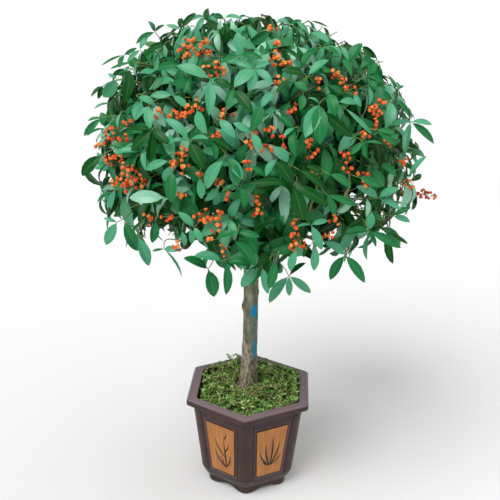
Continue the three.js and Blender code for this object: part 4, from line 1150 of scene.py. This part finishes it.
# A node lies on the crown's outline, or where its pixel's ray passes nearest to the crown's middle. Each
# leaf's chord runs to its tip's pixel, and its midline is an arc over that chord. The low sprays come
# once more behind the trunk, turned half round it.
def planShown(dice):
    s = shownShape
    nodes = np.array([row[:2] for row in shownSprays], float)
    tips = np.concatenate([row[2:] for row in shownSprays]).reshape(-1, 3) / (1, 1, 100)
    owner = np.repeat(np.arange(len(nodes)), [len(row) // 3 for row in shownSprays])
    ray, near = onOutline(nodes, s["share"])
    tipRay, tipNear = onOutline(tips[:, :2], s["share"])
    across = norm(tips[:, :2] - nodes[owner]) * near[owner] / view["focal"]
    nearer, further = (share * across for share in s["tipDepth"])
    deeper = np.clip(tipNear - near[owner] - s["raised"], nearer, further)
    tip = eye + ray * near
    chord = eye + tipRay * (near[owner] + deeper) - tip[owner]
    along = unit(chord)
    out = square(-tipRay + s["skyward"] * upWay + dice.normal(0, s["spread"], chord.shape), along)
    half = dice.uniform(*s["halfBend"], (len(tips), 1))
    size = np.hstack([norm(chord) * tips[:, 2:], norm(chord)])
    leaves = {
        "root": tip[owner], "along": np.cos(half) * along + np.sin(half) * out,
        "out": np.cos(half) * out - np.sin(half) * along, "length": size[:, 1] * (half / np.sin(half))[:, 0],
        "width": size[:, 0], "bend": 2 * half[:, 0], "fold": dice.uniform(*s["fold"], len(tips)),
        "twist": dice.uniform(*s["twist"], len(tips)), "spray": owner,
    }
    window = {"centre": tip[owner] + chord / 2, "facing": -tipRay, "across": unit(np.cross(along, tipRay)),
              "upward": along, "size": size / 2}
    way = unit(tip - crown["centre"])
    axis = 0.6 * way
    np.add.at(axis, owner, along)
    low = nodes[:, 1] > s["lowRow"]
    halfRound, lift = np.array((-1, -1, 1)), upWay * s["lift"]
    behind = picked(leaves, low[owner])
    behind["root"] = behind["root"] * halfRound + lift
    behind["along"], behind["out"] = behind["along"] * halfRound, behind["out"] * halfRound
    behind["spray"] = (np.cumsum(low) - 1 + len(nodes))[behind["spray"]]
    tip = np.concatenate([tip, tip[low] * halfRound + lift])
    way, axis = (np.concatenate([v, v[low] * halfRound]) for v in (way, axis))
    return sprayTable(way, tip, axis, -1, 2), stacked(leaves, behind), window


def clearOfGaps(leaves):  # leaves that close no gap and stay above the lower edge
    gaps = np.array(skyGaps, float)
    kept = np.ones(len(leaves["root"]), bool)
    for part in (0.2, 0.45, 0.7, 0.95):
        droop = leaves["out"] * (leaves["length"] * leaves["bend"] * part**2 / 2)[:, None]
        spot = toPixels(leaves["root"] + leaves["along"] * leaves["length"][:, None] * part - droop)
        off = (spot[:, None] - gaps[:, :2]) / (gaps[:, 2:] + 1)
        kept &= ~((off**2).sum(-1) < 1).any(-1) & ~(belowEdge(spot) & (part < 0.7))
    return picked(leaves, kept)


# Leaves that don't lie right over what shows in a window.
def notBehind(windows, leaves, nearest=-0.006, share=0.8, margin=0.007):
    kept = np.ones(len(leaves["root"]), bool)
    half = windows["size"] * share + margin
    for part in (0.25, 0.5, 0.75):
        spot = leaves["root"] + leaves["along"] * leaves["length"][:, None] * part
        gap = spot[:, None] - windows["centre"]
        aside, above, ahead = ((gap * windows[name]).sum(-1) for name in ("across", "upward", "facing"))
        kept &= ~(((aside / half[:, 0]) ** 2 + (above / half[:, 1]) ** 2 < 1) & (ahead > nearest)).any(-1)
    return picked(leaves, kept)


# Blossom

blossomShape = {
    "radius": (0.0043, 0.0054), "perNode": 5, "stalk": 0.0006, "stalkLong": (0.006, 0.015),
    "aroundMany": 66, "aroundSize": ((0.014, 0.040), (0.012, 0.028)), "perArea": 6000, "lowest": 1.62,
    "sunk": 0.012, "shootBack": 0.030, "rightSpray": (-0.105, 0.012, 10), "outward": 0.8, "scatter": 0.7,
    # deep is a painted shaded copy of the flower's colours and bright a painted lit copy, each petal then rim
    "deep": (display(186, 42, 12), display(216, 80, 30)),
    "bright": (display(214, 78, 26), display(236, 138, 68)),
    "centre": display(222, 118, 52), "stalkColour": display(120, 146, 74),
}
# Flower clusters that face the camera, by the frame's pixels: middle, half width and half height
frontClusters = {
    "topLeft": [(196, 47, 21, 10), (214, 70, 11, 8), (159, 112, 6, 6)],
    "topMiddle": [(272, 30, 7, 5), (277, 45, 4, 4), (274, 57, 6, 9), (285, 64, 9, 6), (279, 80, 5, 5)],
    "topRight": [(318, 82, 9, 3), (338, 74, 8, 9), (351, 90, 8, 5), (378, 109, 7, 11), (375, 124, 6, 3)],
    "leftEdge": [(128, 122, 5, 6), (112, 133, 6, 10), (100, 146, 6, 5), (124, 138, 5, 3),
                 (109, 159, 9, 5), (129, 178, 17, 16)],
    "leftMiddle": [(179, 115, 9, 7), (197, 109, 10, 7), (226, 114, 7, 5), (180, 164, 12, 7),
                   (185, 149, 3, 4), (198, 176, 4, 5)],
    "middle": [(215, 137, 3, 5), (268, 131, 4, 7), (256, 131, 3, 3), (248, 145, 7, 6), (268, 149, 8, 6),
               (283, 141, 5, 5), (290, 110, 5, 9), (222, 184, 5, 8), (228, 197, 5, 8), (256, 201, 5, 4),
               (257, 212, 7, 3), (248, 166, 3, 3)],
    "rightMiddle": [(310, 152, 8, 9), (343, 158, 7, 6), (347, 169, 6, 4), (365, 180, 9, 9),
                    (366, 137, 10, 4), (313, 174, 3, 2)],
    "rightEdge": [(387, 143, 4, 3), (403, 162, 6, 5), (408, 184, 9, 4)],
    "lowLeft": [(209, 218, 15, 10), (212, 239, 6, 5), (222, 249, 5, 5), (168, 216, 5, 5),
                (148, 218, 3, 5), (180, 197, 3, 3), (179, 246, 5, 3)],
    "lowRight": [(295, 226, 5, 4), (297, 243, 7, 12), (334, 217, 5, 8), (329, 235, 5, 6)],
}
# Bare limbs that show among the leaves: the lower and the upper end of each in the frame's pixels
bareLimbs = {"rightInner": (309, 212, 319, 173), "rightOuter": (344, 199, 351, 174)}
limbShape = {"under": 0.045, "radii": (0.0036, 0.0026), "window": 0.007, "sway": 0.005}
# Rings of one flower from its foot round the rim to its deep middle, in flower radii: how wide, how high
# and how far the four lobes part
flowerRings = [
    (0.36, 0.06, 0.0), (0.82, 0.30, 0.02), (1.0, 0.80, 0.06), (0.82, 1.16, 0.09), (0.46, 1.10, 0.05),
    (0.20, 0.88, 0.0),
]


def flowerPoints(centre, up, spin, radius):
    side = unit(np.cross(up, upWay + 0.02))
    around = spoke(np.arange(8) * math.pi / 4 + spin[:, None], side[:, None], np.cross(up, side)[:, None])
    lobe = np.cos(np.arange(8) * math.pi)[:, None]
    centre, up, size = centre[:, None], up[:, None], radius[:, None, None]
    rings = [centre + size * (out * (1 + part * lobe) * around + (high + 0.6 * part * (lobe - 1)) * up)
             for out, high, part in flowerRings]
    return np.concatenate(rings + [centre, centre + size * 0.76 * up], 1)


def makeBlossom(name, centre, up, colour, rim, dice):
    s = blossomShape
    copies = len(centre)
    points = flowerPoints(centre, up, dice.uniform(0, fullTurn, copies), dice.uniform(*s["radius"], copies))
    looks = [plainLook(name + kind, tint, 0.6, 0.25)
             for kind, tint in (("Petal", colour), ("Rim", rim), ("Deep", s["centre"]))]
    lookOf = np.concatenate([np.tile(np.repeat(strip, 8), copies) for strip in ([0, 0, 1, 1, 2], [0, 2])])
    faces = stackFaces(len(flowerRings), 8, copies)
    newPiece(name, "foliage", foliageNodes, points, faces, looks, lookOf)


# Each limb leaves the nearest twig of its mass and runs on through its two ends.
def planLimbs(twigPaths, twigMass):
    s = limbShape
    pixels = np.array(list(bareLimbs.values()), float)
    ray, near = onOutline(pixels.reshape(-1, 2), 1.0)
    lower, upper = (eye + ray * (near + s["under"])).reshape(-1, 2, 3).swapaxes(0, 1)
    way = unit(lower - crown["centre"])
    foot = {"tip": lower, "axis": unit(upper - lower), "way": way, "mass": massOf(way)}
    lower, upper = lower[:, None], upper[:, None]
    rise = mix(lower, upper, np.linspace(0, 1, 6)[1:, None])
    rise = rise + s["sway"] * np.sin(np.arange(5) * 1.1)[:, None] * eyeAxes[:, 0]
    spots = mix(lower, upper, np.linspace(0.1, 0.9, 4)[:, None]).reshape(-1, 3)
    window = {"centre": spots, "facing": -ray[:1], "across": eyeAxes.T[:1], "upward": eyeAxes.T[1:2],
              "size": np.full((1, 2), s["window"])}
    return np.concatenate([growShoots(foot, twigPaths, twigMass), rise], 1), window


# The clusters that show, and others by the golden angle on the sides that don't, each with its middle,
# the way it faces, two ways across it and its half sizes.
def planClusters(dice):
    s = blossomShape
    pixels = np.array([row for rows in frontClusters.values() for row in rows], float)
    ray, near = onOutline(pixels[:, :2], 1.0)
    front = np.ones((len(ray), 1))
    k = np.arange(s["aroundMany"])
    height = 1 - s["lowest"] * (k + 0.5) / len(k)
    turn = k * goldenAngle + dice.uniform(0, 0.3, len(k))
    way = np.hstack([np.sqrt(1 - height**2)[:, None] * turned(turn), height[:, None]])
    way = way[(way @ unit(eye - crown["centre"])) < 0.10]
    size = np.stack([dice.uniform(*limits, len(way)) for limits in s["aroundSize"]], -1)
    aside = unit(np.cross(upWay, way))
    shown = {"centre": eye + ray * near, "facing": -ray, "across": front * eyeAxes[:, 0],
             "upward": front * eyeAxes[:, 1], "size": near / view["focal"] * pixels[:, 2:4]}
    around = {"centre": crownPoint(way, 1 - 0.05 * ease(0.4, 0.8, way[:, 2])), "facing": way, "across": aside,
              "upward": np.cross(way, aside), "size": size}
    return stacked(shown, around)


# Places in each cluster by the golden angle, and the cluster of each.
def planFlowerNodes(clusters, dice):
    size = clusters["size"]
    many = np.maximum(1, np.round(size.prod(-1) * blossomShape["perArea"])).astype(int)
    row = np.repeat(np.arange(len(many)), many)
    own = picked(clusters, row)
    k = np.arange(len(row)) - np.repeat(np.cumsum(many) - many, many)
    spread = np.sqrt((k + 0.5) / many[row]) * np.where(many[row] > 1, 0.9, 0.2)
    x, y = (spread[:, None] * turned(k * goldenAngle + row) * own["size"]).T[..., None]
    place = own["centre"] + x * own["across"] + y * own["upward"]
    sunk = blossomShape["sunk"] * (1 + spread[:, None] ** 2) + dice.uniform(0, 0.006, (len(row), 1))
    return place - own["facing"] * sunk, own["facing"], row


# One shoot comes up behind each cluster, and a short stalk leaves it for every node of flowers.
def growFlowerShoots(clusters, places, row, twigPaths, twigMass):
    facing, upward, centre = clusters["facing"], clusters["upward"], clusters["centre"]
    tip = centre - facing * blossomShape["shootBack"] + upward * clusters["size"][:, 1:2] * 0.5
    mass = massOf(unit(centre - crown["centre"]))
    hubs = {"tip": tip, "axis": unit(upward + facing), "way": facing, "mass": mass}
    main = growShoots(hubs, twigPaths, twigMass)
    step = 5 + np.arange(len(row)) % 4
    root = main[row, step]
    side = grownCurve(root, unit(root - main[row, step - 1]), facing[row], places, 0.4, 9)
    return np.concatenate([main, side])


# Flowers crowd round each node on short stalks, and open away from the shoot.
def makeClusters(places, facing, dice):
    s = blossomShape
    root = np.repeat(places, s["perNode"], 0)
    way = np.repeat(facing, s["perNode"], 0) * s["outward"] + dice.normal(0, s["scatter"], root.shape)
    way = unit(way)
    long = dice.uniform(*s["stalkLong"], (len(root), 1))
    centre = root + way * long
    stalks = np.stack([root, root + way * long * 0.5 + upWay * s["stalk"], centre + way * s["stalk"]], 1)
    look = plainLook("flowerStalk", s["stalkColour"], 0.6)
    newTubes("flowerStalks", "foliage", foliageNodes, stalks, s["stalk"], 3, look)
    # half the flowers at random take the painted shaded copy and half the painted lit copy
    bright = dice.uniform(0, 1, len(root)) < 0.5
    makeBlossom("blossomDeep", centre[~bright], way[~bright], *s["deep"], dice)
    makeBlossom("blossomBright", centre[bright], way[bright], *s["bright"], dice)
    print("flowers:", len(root))


def makeCrown():
    dice = np.random.default_rng(23)
    stemPaths, twigPaths, twigMass = growTwigs(dice)
    head, apart = planSprays(dice), planStragglers(dice)
    shown, shownLeaves, shownWindow = planShown(dice)
    first = len(head["tip"])
    shownLeaves["spray"] = shownLeaves["spray"] + first + len(apart["tip"])
    sprays = stacked(head, apart, shown)
    clusters = planClusters(dice)
    nodes, facing, row = planFlowerNodes(clusters, dice)
    flowerPaths = growFlowerShoots(clusters, nodes, row, twigPaths, twigMass)
    limbPaths, limbWindow = planLimbs(twigPaths, twigMass)
    leaves = notBehind(limbWindow, notBehind(clusters, planLeaves(sprays, dice)))
    leaves = stacked(clearOfGaps(notBehind(shownWindow, leaves, 0.004)), shownLeaves)
    leafy = np.bincount(leaves["spray"], minlength=len(sprays["tip"])) > 0
    leafy[first] = True  # the spray of flowers on the right
    shootPaths = growShoots(picked(sprays, leafy), twigPaths, twigMass)
    makeTwigs(stemPaths, twigPaths, np.concatenate([shootPaths, flowerPaths]), limbPaths)
    makeLeaves(sprays, leaves, dice)
    axis = apart["axis"][:1]
    right = apart["tip"][0] + np.linspace(*blossomShape["rightSpray"])[:, None] * axis
    makeClusters(np.concatenate([nodes, right]), np.concatenate([facing, axis.repeat(len(right), 0)]), dice)


# Studio

# Each sun has the way it shines from, its strength and its spread in degrees
studio = {
    "floorRings": (3, 8, 12, 18, 27, 40, 60, 85, 115, 150), "flatTo": 8, "edgeRise": 55, "sides": 48,
    "floorGrey": (0.72, 0.72, 0.72, 1), "roomLight": 0.07, "sensor": 36, "furthest": 400,
    "suns": {"keyLight": ((-0.62, -0.85, 1.3), 2.55, 40), "topLight": ((0.30, -0.1, 1.0), 1.95, 90)},
}


def linked(name, data):
    made = bpy.data.objects.new(name, data)
    bpy.context.scene.collection.objects.link(made)
    return made


def placeCamera():
    camera = linked("camera", bpy.data.cameras.new("camera"))
    camera.matrix_world = Matrix.Translation(Vector(eye)) @ Matrix(eyeAxes.tolist()).to_4x4()
    camera.data.sensor_width = studio["sensor"]
    camera.data.lens = view["focal"] * studio["sensor"] / view["frame"]
    camera.data.clip_end = studio["furthest"]
    bpy.context.scene.camera = camera


def softSun(name, source, strength, spread):  # light from one side of the sky, with soft shadows
    light = bpy.data.lights.new(name, "SUN")
    light.energy = strength
    light.angle = math.radians(spread)
    linked(name, light).rotation_euler = Vector(source).to_track_quat("Z", "Y").to_euler()


# The floor is flat round the pot and rises far away like a wide bowl.
def makeStudio():
    s = studio
    radius, sides = np.array(s["floorRings"], float)[:, None], s["sides"]
    turn = np.arange(sides)[None] * fullTurn / sides
    rise = s["edgeRise"] * np.clip((radius - s["flatTo"]) / (radius[-1] - s["flatTo"]), 0, 1) ** 1.6
    rings = np.dstack([radius[..., None] * turned(turn), rise + 0 * turn]).reshape(-1, 3)
    faces = [gridQuads(len(radius), sides)[:, ::-1], fan(np.arange(sides), len(rings), True)]
    look = plainLook("paleFloor", s["floorGrey"], 0.9)
    newPiece("floor", None, [], np.concatenate([rings, [[0, 0, 0]]]), faces, [look])
    world = bpy.data.worlds.new("paleRoom")
    bpy.context.scene.world = world
    world.use_nodes = True
    backdrop = world.node_tree.nodes["Background"]
    backdrop.inputs[0].default_value = (1, 1, 1, 1)
    backdrop.inputs[1].default_value = s["roomLight"]
    for name, (source, strength, spread) in s["suns"].items():
        softSun(name, source, strength, spread)
    bpy.context.scene.view_settings.view_transform = "Standard"


placeCamera()
makeStudio()
print("studio ready")
makePot()
plateLook, inkLook = panelLook(), softLook("brushInk", panelColours["ink"], 0.6)
for k in range(6):
    makePanel(k, plateLook)
    makeBrushwork(k, inkLook)
print("pot and panels built")
makeSoil()
makeGroundCover()
print("soil and ground cover built")
bark = barkLook()
makeTrunk(bark)
makeBoughs(bark)
print("trunk and boughs built")
makeCrown()
print("crown built")
